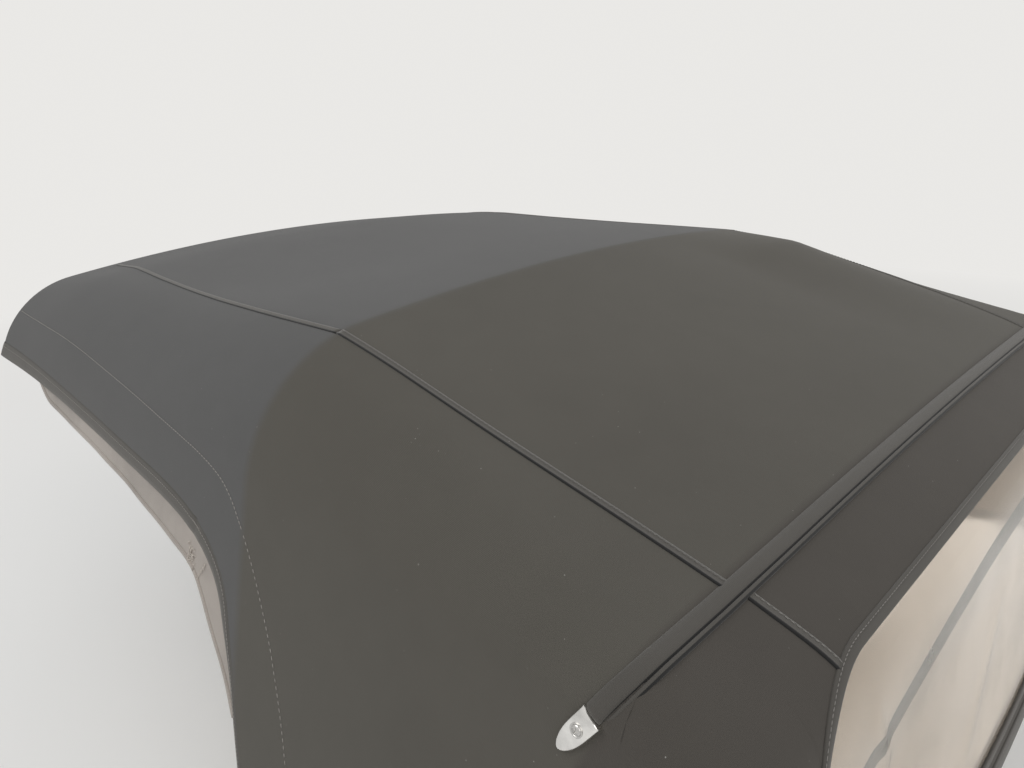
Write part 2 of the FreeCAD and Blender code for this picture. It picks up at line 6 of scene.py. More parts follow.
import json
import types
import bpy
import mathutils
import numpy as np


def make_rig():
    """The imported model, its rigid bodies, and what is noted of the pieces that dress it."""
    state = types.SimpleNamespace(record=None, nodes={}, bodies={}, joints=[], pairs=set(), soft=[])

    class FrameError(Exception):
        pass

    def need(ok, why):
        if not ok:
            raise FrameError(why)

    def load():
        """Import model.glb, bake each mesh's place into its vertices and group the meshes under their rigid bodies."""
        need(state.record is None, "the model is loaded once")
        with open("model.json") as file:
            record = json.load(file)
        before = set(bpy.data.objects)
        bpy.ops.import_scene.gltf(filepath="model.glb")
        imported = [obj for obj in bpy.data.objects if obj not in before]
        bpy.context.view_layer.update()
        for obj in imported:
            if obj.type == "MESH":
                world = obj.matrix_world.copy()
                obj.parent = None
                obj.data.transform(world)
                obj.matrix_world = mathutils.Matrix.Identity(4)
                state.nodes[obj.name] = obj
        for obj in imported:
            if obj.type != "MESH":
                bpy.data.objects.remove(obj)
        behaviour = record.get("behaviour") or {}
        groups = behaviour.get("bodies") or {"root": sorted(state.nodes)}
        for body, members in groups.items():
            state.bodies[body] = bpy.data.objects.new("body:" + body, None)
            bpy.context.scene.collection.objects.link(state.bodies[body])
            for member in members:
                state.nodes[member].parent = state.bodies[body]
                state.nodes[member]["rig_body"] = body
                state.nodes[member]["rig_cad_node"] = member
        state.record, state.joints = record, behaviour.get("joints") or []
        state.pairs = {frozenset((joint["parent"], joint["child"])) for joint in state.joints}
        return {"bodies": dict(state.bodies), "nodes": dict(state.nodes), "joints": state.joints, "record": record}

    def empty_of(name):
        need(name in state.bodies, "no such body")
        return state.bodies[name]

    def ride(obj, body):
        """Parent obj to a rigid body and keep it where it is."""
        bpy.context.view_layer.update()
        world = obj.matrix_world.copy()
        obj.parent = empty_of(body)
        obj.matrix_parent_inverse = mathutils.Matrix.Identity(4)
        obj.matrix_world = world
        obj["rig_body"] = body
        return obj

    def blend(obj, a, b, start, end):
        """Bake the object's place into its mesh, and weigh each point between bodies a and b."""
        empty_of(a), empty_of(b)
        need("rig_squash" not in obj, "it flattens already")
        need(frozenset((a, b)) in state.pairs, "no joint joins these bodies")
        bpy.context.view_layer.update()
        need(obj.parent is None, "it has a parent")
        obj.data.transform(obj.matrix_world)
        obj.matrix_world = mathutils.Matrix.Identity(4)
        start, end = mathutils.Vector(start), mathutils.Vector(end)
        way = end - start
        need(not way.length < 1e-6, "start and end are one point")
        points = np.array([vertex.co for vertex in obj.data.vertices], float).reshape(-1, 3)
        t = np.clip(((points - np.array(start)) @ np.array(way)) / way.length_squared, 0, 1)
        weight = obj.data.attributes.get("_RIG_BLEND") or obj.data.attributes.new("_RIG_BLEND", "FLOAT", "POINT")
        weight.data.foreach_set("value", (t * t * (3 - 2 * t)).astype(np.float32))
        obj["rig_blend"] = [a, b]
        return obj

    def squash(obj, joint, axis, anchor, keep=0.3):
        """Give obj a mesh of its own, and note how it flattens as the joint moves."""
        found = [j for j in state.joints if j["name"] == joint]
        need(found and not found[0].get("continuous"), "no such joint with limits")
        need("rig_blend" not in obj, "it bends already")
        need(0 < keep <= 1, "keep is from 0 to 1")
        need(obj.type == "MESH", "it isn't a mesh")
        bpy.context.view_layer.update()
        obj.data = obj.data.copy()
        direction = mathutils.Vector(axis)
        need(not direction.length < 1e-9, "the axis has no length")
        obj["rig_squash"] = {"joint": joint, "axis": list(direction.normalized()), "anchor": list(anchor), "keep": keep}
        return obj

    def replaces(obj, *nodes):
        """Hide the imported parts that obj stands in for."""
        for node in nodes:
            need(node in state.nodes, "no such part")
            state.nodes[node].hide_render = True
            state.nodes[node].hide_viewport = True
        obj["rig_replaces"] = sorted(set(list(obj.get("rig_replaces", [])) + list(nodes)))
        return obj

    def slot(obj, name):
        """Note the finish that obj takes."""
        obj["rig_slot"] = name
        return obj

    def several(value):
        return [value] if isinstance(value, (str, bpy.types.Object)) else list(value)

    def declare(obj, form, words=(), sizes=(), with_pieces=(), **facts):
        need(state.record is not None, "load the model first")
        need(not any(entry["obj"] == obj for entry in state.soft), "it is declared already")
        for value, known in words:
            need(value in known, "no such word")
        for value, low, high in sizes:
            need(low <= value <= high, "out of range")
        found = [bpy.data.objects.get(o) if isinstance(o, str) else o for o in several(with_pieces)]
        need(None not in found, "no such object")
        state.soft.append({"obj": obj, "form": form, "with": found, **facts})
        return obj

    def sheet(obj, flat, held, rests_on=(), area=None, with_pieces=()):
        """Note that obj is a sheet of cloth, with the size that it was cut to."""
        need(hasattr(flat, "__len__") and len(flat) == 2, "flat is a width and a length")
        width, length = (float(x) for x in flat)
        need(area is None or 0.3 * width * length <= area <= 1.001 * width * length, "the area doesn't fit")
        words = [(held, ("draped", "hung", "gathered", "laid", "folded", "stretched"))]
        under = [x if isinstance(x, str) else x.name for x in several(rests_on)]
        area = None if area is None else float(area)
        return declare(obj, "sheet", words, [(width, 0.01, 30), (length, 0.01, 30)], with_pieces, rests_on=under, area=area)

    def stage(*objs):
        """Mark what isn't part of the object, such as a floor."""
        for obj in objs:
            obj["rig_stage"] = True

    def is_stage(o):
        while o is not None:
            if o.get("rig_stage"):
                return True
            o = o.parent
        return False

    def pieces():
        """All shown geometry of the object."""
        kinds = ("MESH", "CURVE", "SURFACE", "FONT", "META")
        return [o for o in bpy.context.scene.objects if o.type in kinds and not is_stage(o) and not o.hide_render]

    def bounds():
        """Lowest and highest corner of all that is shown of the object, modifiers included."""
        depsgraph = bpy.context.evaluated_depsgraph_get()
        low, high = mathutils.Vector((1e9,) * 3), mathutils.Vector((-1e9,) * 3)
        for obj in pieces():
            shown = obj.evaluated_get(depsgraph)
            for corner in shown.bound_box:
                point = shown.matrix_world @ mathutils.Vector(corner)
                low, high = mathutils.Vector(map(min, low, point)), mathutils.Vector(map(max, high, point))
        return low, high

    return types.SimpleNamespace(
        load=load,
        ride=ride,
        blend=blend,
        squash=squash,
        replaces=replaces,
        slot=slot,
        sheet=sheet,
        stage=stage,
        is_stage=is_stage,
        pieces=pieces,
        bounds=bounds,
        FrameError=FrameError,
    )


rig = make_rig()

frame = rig.load()

import json
import math

import bpy
import bmesh
import numpy as np
from mathutils import Matrix, Vector

CAD_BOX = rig.bounds()

bl_info = {
    "name": "Convertible soft top",
    "version": (1, 0, 0),
    "blender": (4, 5, 0),
    "location": "View3D > Sidebar > Soft top",
    "description": "Builds the cloth, window, welt and trim of a folding soft top on its packed frame",
    "category": "Object",
}

# Roof stations: x, crown height, crown radius, shoulder radius, half-width at SIDE_Z, side lean in degrees
SIDE_Z = 0.513
REAR_BOW = (-0.250, 0.594, 10.0, 0.042, 0.513, 12.5)
MID_BOW = (0.197, 0.698, 3.7, 0.168, 0.513, 12.5)
HEADER_REAR = (0.790, 0.679, 3.56, 0.153, 0.541, 11.0)
HEADER_FRONT = (0.980, 0.6545, 3.415, 0.153, 0.5545, 12.0)
STATIONS = (REAR_BOW, MID_BOW, HEADER_REAR, HEADER_FRONT)
HEADER_PLAN_RADIUS = 3.220
HEADER_TIP_X = 0.976
# Where the cloth starts to lie on the header
HEADER_HOLD_X = 0.800
# Back of the top: planes about the belt's turning point: angle, reach, shoulder radius, side lean
FAN = (
    (90.0, None, 0.042, 12.5),
    (101.5, 0.362, 0.048, 11.8),
    (112.0, 0.248, 0.058, 10.0),
    (136.0, 0.152, 0.076, 8.0),
    (166.8, 0.129, 0.096, 2.9),
)
SEAM_Y = 0.385
SPLIT_Z = 0.485
BELT_FRONT = (0.120, 0.120)
BELT_SLOPE = 115.0 / 490.0
WEBBING_Y, WEBBING_HALF = 0.205, 0.025
# Side opening's upper edge, from the header back and down to the belt (x, z)
OPENING = (
    (1.000, 0.552), (0.932, 0.551), (0.834, 0.549), (0.770, 0.545), (0.686, 0.538), (0.615, 0.531), (0.548, 0.524),
    (0.487, 0.517), (0.430, 0.511), (0.365, 0.503),
    (0.320, 0.4945), (0.290, 0.485), (0.266, 0.4745), (0.246, 0.461), (0.2305, 0.4455), (0.219, 0.425),
    (0.2115, 0.4), (0.2035, 0.3725), (0.1925, 0.335), (0.178, 0.287), (0.157, 0.225), (0.137, 0.168), (0.120, 0.120),
)
# Line of stitching inboard of the opening (x, z)
STITCH_LINE = (
    (0.930, 0.5945), (0.880, 0.5955), (0.821, 0.5965), (0.728, 0.5955), (0.644, 0.5912), (0.568, 0.5853),
    (0.501, 0.5797), (0.440, 0.5740), (0.386, 0.5680), (0.334, 0.5620), (0.288, 0.5555), (0.261, 0.5495),
    (0.240, 0.5420), (0.223, 0.5310), (0.201, 0.5090), (0.179, 0.4850), (0.154, 0.452), (0.132, 0.418),
    (0.116, 0.386), (0.102, 0.354), (0.089, 0.317), (0.072, 0.262), (0.054, 0.205), (0.037, 0.150),
)
# Free edge of the lining flap in the side opening (x, z)
FLAP_EDGE = (
    (0.790, 0.5265), (0.776, 0.518), (0.762, 0.509), (0.745, 0.5015), (0.708, 0.4945), (0.668, 0.4885),
    (0.630, 0.4845), (0.590, 0.4800), (0.560, 0.4765), (0.529, 0.4720), (0.499, 0.4670), (0.469, 0.4612),
    (0.446, 0.4560), (0.423, 0.4513), (0.399, 0.4467), (0.375, 0.4420), (0.350, 0.4370), (0.330, 0.4330),
    (0.313, 0.4280), (0.297, 0.4185), (0.284, 0.4045), (0.264, 0.3800), (0.246, 0.3590), (0.226, 0.3360),
    (0.211, 0.3150), (0.2005, 0.3000),
)
# Seam between the front part's top and side pieces (x, y)
FRONT_SEAM = (
    (0.197, 0.3852), (0.255, 0.3868), (0.310, 0.3880), (0.354, 0.3884), (0.403, 0.3884), (0.455, 0.3882),
    (0.519, 0.3865), (0.588, 0.3835), (0.669, 0.3790), (0.765, 0.3715), (0.860, 0.3620), (0.925, 0.3540),
)
# Welt: x of its middle line over the crown, its low end (x, z) and its run over the shoulder (x, z); its tip swings
# forwards from straight down by these degrees
WELT_X = -0.2487
WELT_LOW = (-0.2305, 0.5565)
WELT_RUN = np.array((
    (-0.2318, 0.5557), (-0.2357, 0.5635), (-0.2393, 0.5702), (-0.2428, 0.5763), (-0.2460, 0.5822), (-0.2479, 0.5862),
    (-0.2486, 0.5892), (-0.2487, 0.5945),
))
TIP_SWING = 32.0
ROOT, FRONT, HOOP = "root", "front_frame", "rear_hoop"


# ------------------------------------------------------------------ the cloth's surface
def unit(rows):
    """The same vectors, each of length 1."""
    return rows / np.linalg.norm(rows, axis=-1, keepdims=True)


def run_length(points):
    """Length along a polyline at each of its points."""
    return np.concatenate([[0], np.cumsum(np.linalg.norm(np.diff(points, axis=0), axis=1))])


def at_lengths(t, d, points):
    """Points of a polyline at the lengths t, where d is its length at each point."""
    return np.stack([np.interp(t, d, points[:, i]) for i in range(points.shape[1])], 1)


def share(value):
    """The value, held between 0 and 1."""
    return min(max(value, 0.0), 1.0)


def eased(t):
    """A share between 0 and 1 with a slow start and end."""
    return t * t * (3 - 2 * t)


def hermite(t, h, p0, p1, m0, m1):
    """Cubic between two knots a distance h apart, with its slopes m0 and m1 at them."""
    return ((2 * t**3 - 3 * t**2 + 1) * p0 + (t**3 - 2 * t**2 + t) * h * m0
            + (3 * t**2 - 2 * t**3) * p1 + (t**3 - t**2) * h * m1)


def smooth_line(points, count):
    """Evenly spaced points on a smooth curve through the given ones."""
    p = np.array(points, float)
    d = run_length(p)
    slope = np.gradient(p, d, axis=0)
    t = np.linspace(0, d[-1], count * 8)
    k = np.clip(np.searchsorted(d, t, side="right") - 1, 0, len(d) - 2)
    h = (d[k + 1] - d[k])[:, None]
    return respaced(hermite((t - d[k])[:, None] / h, h, p[k], p[k + 1], slope[k], slope[k + 1]), count)


def respaced(points, count):
    """The same polyline as count points with even spacing."""
    d = run_length(points)
    return at_lengths(np.linspace(0, d[-1], count), d, points)


OPENING_LINE = smooth_line(OPENING, 360)
FLAP_LINE = smooth_line(FLAP_EDGE, 200)
STITCH_PATH = smooth_line(STITCH_LINE, 300)


def half_arch(crown, crown_r, shoulder_r, foot_y, foot_t, lean, base_t):
    """Half of an arch (y, t), from its crown out over the shoulder and down the leaning side."""
    down = np.array((math.sin(math.radians(lean)), -math.cos(math.radians(lean))))
    out = np.array((-down[1], down[0]))
    centre_t = crown - crown_r
    base = np.array((foot_y, foot_t)) - shoulder_r * out
    reach = crown_r - shoulder_r
    half_b = base[0] * down[0] + (base[1] - centre_t) * down[1]
    rest = base[0] ** 2 + (base[1] - centre_t) ** 2 - reach**2
    centre = base + (-half_b - math.sqrt(half_b**2 - rest)) * down
    up = (centre - (0, centre_t)) / reach
    turn = math.atan2(up[0], up[1])
    a = np.linspace(0, turn, 60)
    crown_part = np.stack([crown_r * np.sin(a), centre_t + crown_r * np.cos(a)], 1)
    a = np.linspace(math.atan2(up[1], up[0]), math.atan2(out[1], out[0]), 60)[1:]
    shoulder = np.stack([centre[0] + shoulder_r * np.cos(a), centre[1] + shoulder_r * np.sin(a)], 1)
    side = centre + shoulder_r * out
    drop = (side[1] - base_t) / -down[1]
    side_part = side + np.linspace(0, drop, 40)[1:, None] * down
    return np.vstack([crown_part, shoulder, side_part])


ROOF_ARCHES = np.array([half_arch(c, cr, sr, w, SIDE_Z, lean, 0.06) for _, c, cr, sr, w, lean in STATIONS])
ROOF_X = np.array([s[0] for s in STATIONS])


def belt_z(x):
    return BELT_FRONT[1] + BELT_SLOPE * (BELT_FRONT[0] - x)


def sag(x):
    """How far the cloth hangs below the straight line between two bows."""
    start, end = (REAR_BOW[0], MID_BOW[0]) if x < MID_BOW[0] else (MID_BOW[0], HEADER_HOLD_X)
    t = (x - start) / (end - start)
    return bpy.context.scene.soft_top_cloth.sag * math.sin(math.pi * share(t)) ** 2


# Fullness of the far side: its height, the x of its peak, and its start, peak and end across the car
FULL_HIGH, FULL_PEAK_X = 0.019, 0.082
FULL_START_Y, FULL_PEAK_Y, FULL_END_Y = 0.180, 0.355, 0.470


def fullness(x, y):
    """How much the cloth stands up behind the middle bow's right-hand end, where the bow's end carries it back."""
    back, mid = REAR_BOW[0], MID_BOW[0]
    if y > -FULL_START_Y or not back < x < mid:
        return 0.0
    t = (x - back) / (FULL_PEAK_X - back) if x < FULL_PEAK_X else (mid - x) / (mid - FULL_PEAK_X)
    along = math.sqrt(t * t + 0.0016) - 0.04 - max(t - 0.9, 0.0) ** 2 * 1.6
    across = abs(y) - FULL_START_Y if -y < FULL_PEAK_Y else FULL_END_Y + y
    across /= FULL_PEAK_Y - FULL_START_Y if -y < FULL_PEAK_Y else FULL_END_Y - FULL_PEAK_Y
    return FULL_HIGH * max(along, 0.0) * eased(share(across))


def raise_far_side(obj):
    """Give a piece on the right-hand side the cloth's fullness."""
    for v in obj.data.vertices:
        v.co.z += fullness(v.co.x, v.co.y)


def plain_section(x):
    """Straight-lined section with the bend over the header's rear edge eased."""
    def straight(v):
        v = min(max(v, ROOF_X[0]), ROOF_X[-1])
        k = min(int(np.searchsorted(ROOF_X, v, side="right")) - 1, len(ROOF_X) - 2)
        t = (v - ROOF_X[k]) / (ROOF_X[k + 1] - ROOF_X[k])
        return ROOF_ARCHES[k] * (1 - t) + ROOF_ARCHES[k + 1] * t
    ease = 0.030 if abs(x - HEADER_REAR[0]) < 0.08 else 0.004
    if ease * 2 > abs(x - MID_BOW[0]) or ease * 2 > abs(x - HEADER_REAR[0]):
        return sum(straight(x + ease * w) for w in (-1, -0.5, 0, 0.5, 1)) / 5
    return straight(x)


SECTIONS = {}
# The sag starts at this height and is full this much higher
SAG_LOW_Z, SAG_RISE = 0.52, 0.12
# Points of a section: its crown's first ones, on which y grows, and one on the side, below the shoulder's start
CROWN_POINTS, SHOULDER_POINT = 100, 60


def section(x):
    """(polyline, girth along it) of the outer face at x, crown to foot, on the left."""
    key = round(x, 5)
    if key not in SECTIONS:
        p = plain_section(x)
        t = unit(np.gradient(p, axis=0))
        free = eased(np.clip((p[:, 1] - SAG_LOW_Z) / SAG_RISE, 0, 1))
        p = p - np.stack([-t[:, 1], t[:, 0]], 1) * (sag(x) * free)[:, None]
        SECTIONS[key] = (p, run_length(p))
    return SECTIONS[key]


def girth_at_y(x, y):
    p, d = section(x)
    return float(np.interp(y, p[:CROWN_POINTS, 0], d[:CROWN_POINTS]))


def girth_at_z(x, z):
    p, d = section(x)
    side = np.arange(len(p))[::-1]
    side = side[p[side, 1] < p[SHOULDER_POINT, 1]]
    return float(np.interp(z, p[side, 1], d[side]))


def on_roof(x, girth, lift=0.0):
    """Points (n, 3) on the cloth at station x, girth from the middle, to the left where positive."""
    girth = np.atleast_1d(np.asarray(girth, float))
    g = np.abs(girth)

    def plain(v):
        p, d = section(v)
        return np.stack([np.full(g.shape, v), np.interp(g, d, p[:, 0]) * np.sign(girth), np.interp(g, d, p[:, 1])], -1)
    here = plain(x)
    if not lift:
        return here
    step = 0.003
    side = np.where(girth < 0, -1.0, 1.0)
    along = plain(x + step) - plain(x - step)
    along[:, 1] *= side
    p, d = section(x)
    across = at_lengths(g + step, d, p) - at_lengths(np.maximum(g - step, 0), d, p)
    n = unit(np.cross(along, np.insert(across, 0, 0.0, axis=1)))
    n[:, 1] *= side
    return here + n * lift


def roof_frame(x, girth):
    """Point and outward normal on the cloth."""
    step = 0.001
    a = on_roof(x, [girth])[0]
    return a, (on_roof(x, [girth], step)[0] - a) / step


FAN_BASE = belt_z(REAR_BOW[0])
FAN_FOOT = REAR_BOW[4] + math.tan(math.radians(REAR_BOW[5])) * (SIDE_Z - FAN_BASE)
# Columns of the back's tables: steps of y up to this y, then steps of girth down to the foot
FAN_EVEN_Y, FAN_EVEN_STEPS, FAN_GIRTH_STEPS = 0.45, 45, 55
FAN_CROWN_RADIUS = 6.0


def fan_tables():
    """Half sections of the back at each fan plane, in 3-D."""
    made = []
    for angle, reach, shoulder_r, lean in FAN:
        crown = REAR_BOW[1] - FAN_BASE if reach is None else reach
        radius = REAR_BOW[2] if reach is None else FAN_CROWN_RADIUS
        p = half_arch(crown, radius, shoulder_r, FAN_FOOT, 0.0, lean, 0.0)
        d = run_length(p)
        crown_y, crown_d = p[:CROWN_POINTS, 0], d[:CROWN_POINTS]
        even = np.interp(np.linspace(0, FAN_EVEN_Y, FAN_EVEN_STEPS + 1), crown_y, crown_d)
        g = np.concatenate([even, np.linspace(even[-1], d[-1], FAN_GIRTH_STEPS + 1)[1:]])
        y, reach_at = at_lengths(g, d, p).T
        a = math.radians(angle)
        made.append(np.stack([REAR_BOW[0] + reach_at * math.cos(a), y, FAN_BASE + reach_at * math.sin(a)], 1))
    return np.array(made)


FAN_TABLE = fan_tables()
FAN_KNOTS = run_length(FAN_TABLE[:, 0])
FAN_KNOTS /= FAN_KNOTS[-1]
FAN_SLOPES = np.gradient(FAN_TABLE, FAN_KNOTS, axis=0)
FAN_STEPS = FAN_TABLE.shape[1] - 1


def on_fan(u, v):
    """Points on the back: u from 0 at the rear bow to 1 at the belt, v from 0 in the middle to 1 at the side's foot."""
    u, v = np.broadcast_arrays(np.asarray(u, float), np.asarray(v, float))
    k = np.clip(np.searchsorted(FAN_KNOTS, u, side="right") - 1, 0, len(FAN_KNOTS) - 2)
    h = (FAN_KNOTS[k + 1] - FAN_KNOTS[k])[..., None]
    t = (u - FAN_KNOTS[k])[..., None] / h
    s = np.abs(v) * FAN_STEPS
    j = np.clip(s.astype(int), 0, FAN_STEPS - 1)
    w = (s - j)[..., None]

    def at(values, row):
        return values[row, j] * (1 - w) + values[row, j + 1] * w
    q = hermite(t, h, at(FAN_TABLE, k), at(FAN_TABLE, k + 1), at(FAN_SLOPES, k), at(FAN_SLOPES, k + 1))
    q[..., 1] *= np.sign(v) + (v == 0)
    return q


def v_at_y(y):
    """The back's v of a column at constant y, inside its shoulders."""
    return y * FAN_EVEN_STEPS / FAN_EVEN_Y / FAN_STEPS


def u_at_z(v, z):
    """The back's u at height z in a column."""
    u = np.linspace(0, 1, 400)
    return float(np.interp(-z, -on_fan(u, np.full(400, v))[:, 2], u))


def fan_frame(u, v):
    """Point and outward normal on the back."""
    step = 0.004
    du = on_fan(min(u + step, 1), v) - on_fan(max(u - step, 0), v)
    n = unit(np.cross(du, on_fan(u, v + step) - on_fan(u, v - step)))
    out = np.array((-1.0, 0.0 if abs(v) < 0.45 else np.sign(v) * 2, 0.3))
    return on_fan(u, v), n if n @ out > 0 else -n


def frames(made):
    """The points and the normals of a list of frames."""
    return np.array([m[0] for m in made]), np.array([m[1] for m in made])


# ------------------------------------------------------------------ meshes
def make_active(obj):
    """Select one object alone and make it active."""
    bpy.ops.object.select_all(action="DESELECT")
    obj.select_set(True)
    bpy.context.view_layer.objects.active = obj


def rework(obj, change):
    """Run a change on the object's mesh through bmesh."""
    b = bmesh.new()
    b.from_mesh(obj.data)
    change(b)
    b.to_mesh(obj.data)
    b.free()


def new_mesh(name, points, faces, uv=None, mats=()):
    """Smooth-shaded object from points and faces, with the cloth's UV map where it has one."""
    mesh = bpy.data.meshes.new(name)
    mesh.from_pydata([tuple(map(float, p)) for p in points], [], [tuple(f) for f in faces])
    if uv is not None:
        layer = mesh.uv_layers.new(name="cloth")
        index = np.zeros(len(mesh.loops), int)
        mesh.loops.foreach_get("vertex_index", index)
        layer.data.foreach_set("uv", np.asarray(uv, np.float32)[index].ravel())
    mesh.polygons.foreach_set("use_smooth", [True] * len(mesh.polygons))
    mesh.validate()
    obj = bpy.data.objects.new(name, mesh)
    bpy.context.scene.collection.objects.link(obj)
    for m in mats:
        mesh.materials.append(m)
    return obj


def face_out(obj, inside=(0.15, 0.0, 0.25)):
    """Turn every face of an open sheet away from a point inside the top."""
    mesh = obj.data
    centre = np.array([p.center for p in mesh.polygons])
    normal = np.array([p.normal for p in mesh.polygons])
    area = np.array([p.area for p in mesh.polygons])
    if ((centre - inside) * normal).sum(1) @ area < 0:
        mesh.flip_normals()
    return float(area.sum())


def grid_faces(rows, cols, closed=False, keep=None):
    """Quads of a grid of points, closed round its columns if asked, only those that keep(row, column) allows."""
    out = []
    for i in range(rows - 1):
        for j in range(cols if closed else cols - 1):
            k = (j + 1) % cols
            if keep is None or keep(i, j):
                out.append((i * cols + j, i * cols + k, (i + 1) * cols + k, (i + 1) * cols + j))
    return out


def thicken(obj, amount, inner=1, even=True):
    """Give an open sheet its thickness inwards; the inner face takes the second material."""
    make_active(obj)
    m = obj.modifiers.new("thickness", "SOLIDIFY")
    m.thickness, m.offset = amount, -1.0
    m.material_offset = inner
    m.material_offset_rim = 0
    m.use_even_offset = even
    bpy.ops.object.modifier_apply(modifier=m.name)
    bpy.ops.object.shade_smooth_by_angle(angle=math.radians(50))


def merge_close(obj):
    """Weld points that coincide and drop those that no face uses."""
    def change(b):
        bmesh.ops.remove_doubles(b, verts=b.verts, dist=1e-5)
        bmesh.ops.delete(b, geom=[v for v in b.verts if not v.link_faces], context="VERTS")
    rework(obj, change)


# Least share of its flat rectangle that a sheet's cut may fill
LEAST_FILL = 0.31


def declare_cloth(obj, area, held="stretched"):
    """Declare a sheet with the developed size that its UV map holds in metres."""
    wide, long = sorted(float(s) for s in np.ptp([c.uv for c in obj.data.uv_layers["cloth"].data], axis=0))
    wide = min(max(wide, area / long), area / (LEAST_FILL * long))
    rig.sheet(obj, flat=(wide, long), held=held, rests_on=[], area=area, with_pieces=[])


def sweep(name, points, normals, profile, keys=("tape",), dark=(), caps=True, narrow=None):
    """Closed profile (across, up) carried along a line that lies on the cloth.

    keys names its materials, and the profile's faces in dark take the second one.
    narrow is (low, high, keep, flat): past low and high the profile is drawn in to keep of its width at each point,
    and its height there to keep to the power of flat.
    """
    p, n = np.array(points, float), np.array(normals, float)
    t = unit(np.gradient(p, axis=0))
    n = unit(n - (n * t).sum(1, keepdims=True) * t)
    s = np.cross(t, n)
    prof = np.array(profile, float)
    shape = np.repeat(prof[None], len(p), 0)
    if narrow is not None:
        low, high, keep, flat = narrow
        beyond = np.clip(shape[..., 0] - high, 0, None) - np.clip(low - shape[..., 0], 0, None)
        shape[..., 0] -= beyond * (1 - keep)[:, None]
        shape[..., 1] *= np.where(beyond != 0, keep[:, None] ** flat, 1)
    grid = p[:, None] + s[:, None] * shape[..., :1] + n[:, None] * shape[..., 1:2]
    rows, cols = len(p), len(prof)
    uv = np.stack(np.meshgrid(run_length(p), run_length(prof), indexing="ij"), -1).reshape(-1, 2)
    faces = grid_faces(rows, cols, closed=True)
    if caps:
        faces += [tuple(range(cols)), tuple(range((rows - 1) * cols, rows * cols))]
    obj = new_mesh(name, grid.reshape(-1, 3), faces, uv, [material(key) for key in keys])
    rework(obj, lambda b: bmesh.ops.recalc_face_normals(b, faces=b.faces))
    if dark:
        for k, poly in enumerate(obj.data.polygons[:(rows - 1) * cols]):
            poly.material_index = int(k % cols in dark)
    return obj


def joined(objs, name):
    """The objects as one, which keeps the first one's place in the scene."""
    make_active(objs[0])
    for o in objs:
        o.select_set(True)
    bpy.ops.object.join()
    objs[0].name = objs[0].data.name = name
    return objs[0]


def mirrored_copy(obj, name):
    """The same piece on the right-hand side, its faces turned out again."""
    mesh = obj.data.copy()
    mesh.transform(Matrix.Scale(-1, 4, (0, 1, 0)))
    mesh.flip_normals()
    twin = bpy.data.objects.new(name, mesh)
    mesh.name = name
    bpy.context.scene.collection.objects.link(twin)
    return twin


# ------------------------------------------------------------------ materials
class Graph:
    """Short way to write a node tree."""

    def __init__(self, tree):
        self.tree = tree
        tree.nodes.clear()

    def node(self, kind, inputs=None, **props):
        n = self.tree.nodes.new(kind)
        for k, v in props.items():
            setattr(n, k, v)
        for k, v in (inputs or {}).items():
            self.put(n.inputs[k], v)
        return n

    def put(self, socket, value):
        if isinstance(value, bpy.types.NodeSocket):
            self.tree.links.new(value, socket)
        else:
            socket.default_value = value

    def math(self, operation, a, b=0.0):
        return self.node("ShaderNodeMath", {0: a, 1: b}, operation=operation).outputs[0]

    def times(self, a, b):
        return self.math("MULTIPLY", a, b)

    def mix(self, factor, a, b, blend="MIX"):
        return self.node("ShaderNodeMix", {0: factor, 6: a, 7: b}, data_type="RGBA", blend_type=blend).outputs[2]

    def darker(self, factor, base, rgb):
        """The base, multiplied by a colour where the factor is 1."""
        return self.mix(factor, base, self.mix(1.0, base, colour(rgb), "MULTIPLY"))

    def range(self, value, a, b, c=0.0, d=1.0):
        return self.node("ShaderNodeMapRange", {0: value, 1: a, 2: b, 3: c, 4: d}).outputs[0]

    def noise(self, vector, scale, detail=2.0, rough=0.5):
        inputs = {"Vector": vector, "Scale": scale, "Detail": detail, "Roughness": rough}
        return self.node("ShaderNodeTexNoise", inputs).outputs[0]

    def stretched(self, vector, scale):
        return self.node("ShaderNodeMapping", {"Vector": vector, "Scale": scale}).outputs[0]

    def place(self):
        return self.node("ShaderNodeTexCoord").outputs["Object"]

    def cloth_uv(self):
        return self.node("ShaderNodeUVMap", uv_map="cloth").outputs[0]

    def split(self, vector):
        return self.node("ShaderNodeSeparateXYZ", {0: vector}).outputs

    def group(self, tree, **inputs):
        n = self.node("ShaderNodeGroup", node_tree=tree)
        for k, v in inputs.items():
            self.put(n.inputs[k], v)
        return n.outputs

    def finish(self, shader, base, rough, height, strength, distance, **constants):
        """Link a Principled shader's colour, roughness and bump, and set its other inputs by name."""
        self.put(shader.inputs["Base Color"], base)
        self.put(shader.inputs["Roughness"], rough)
        bump = self.node("ShaderNodeBump", {"Height": height, "Strength": strength, "Distance": distance})
        self.put(shader.inputs["Normal"], bump.outputs[0])
        for k, v in constants.items():
            shader.inputs[k.replace("_", " ")].default_value = v


def colour(rgb, share_kept=1.0):
    """RGBA of a colour, darkened to a share of itself."""
    return tuple(c * share_kept for c in tuple(rgb)[:3]) + (1.0,)


def shared_group(name, inputs, outputs, build):
    """The node group of that name, built on first use from lists of (socket, kind, default)."""
    if name in bpy.data.node_groups:
        return bpy.data.node_groups[name]
    tree = bpy.data.node_groups.new(name, "ShaderNodeTree")
    g = Graph(tree)
    for way, sockets in (("INPUT", inputs), ("OUTPUT", outputs)):
        for socket, kind, value in sockets:
            s = tree.interface.new_socket(socket, in_out=way, socket_type="NodeSocket" + kind)
            if value is not None:
                s.default_value = value
    build(g, g.node("NodeGroupInput").outputs, g.node("NodeGroupOutput").inputs)
    return tree


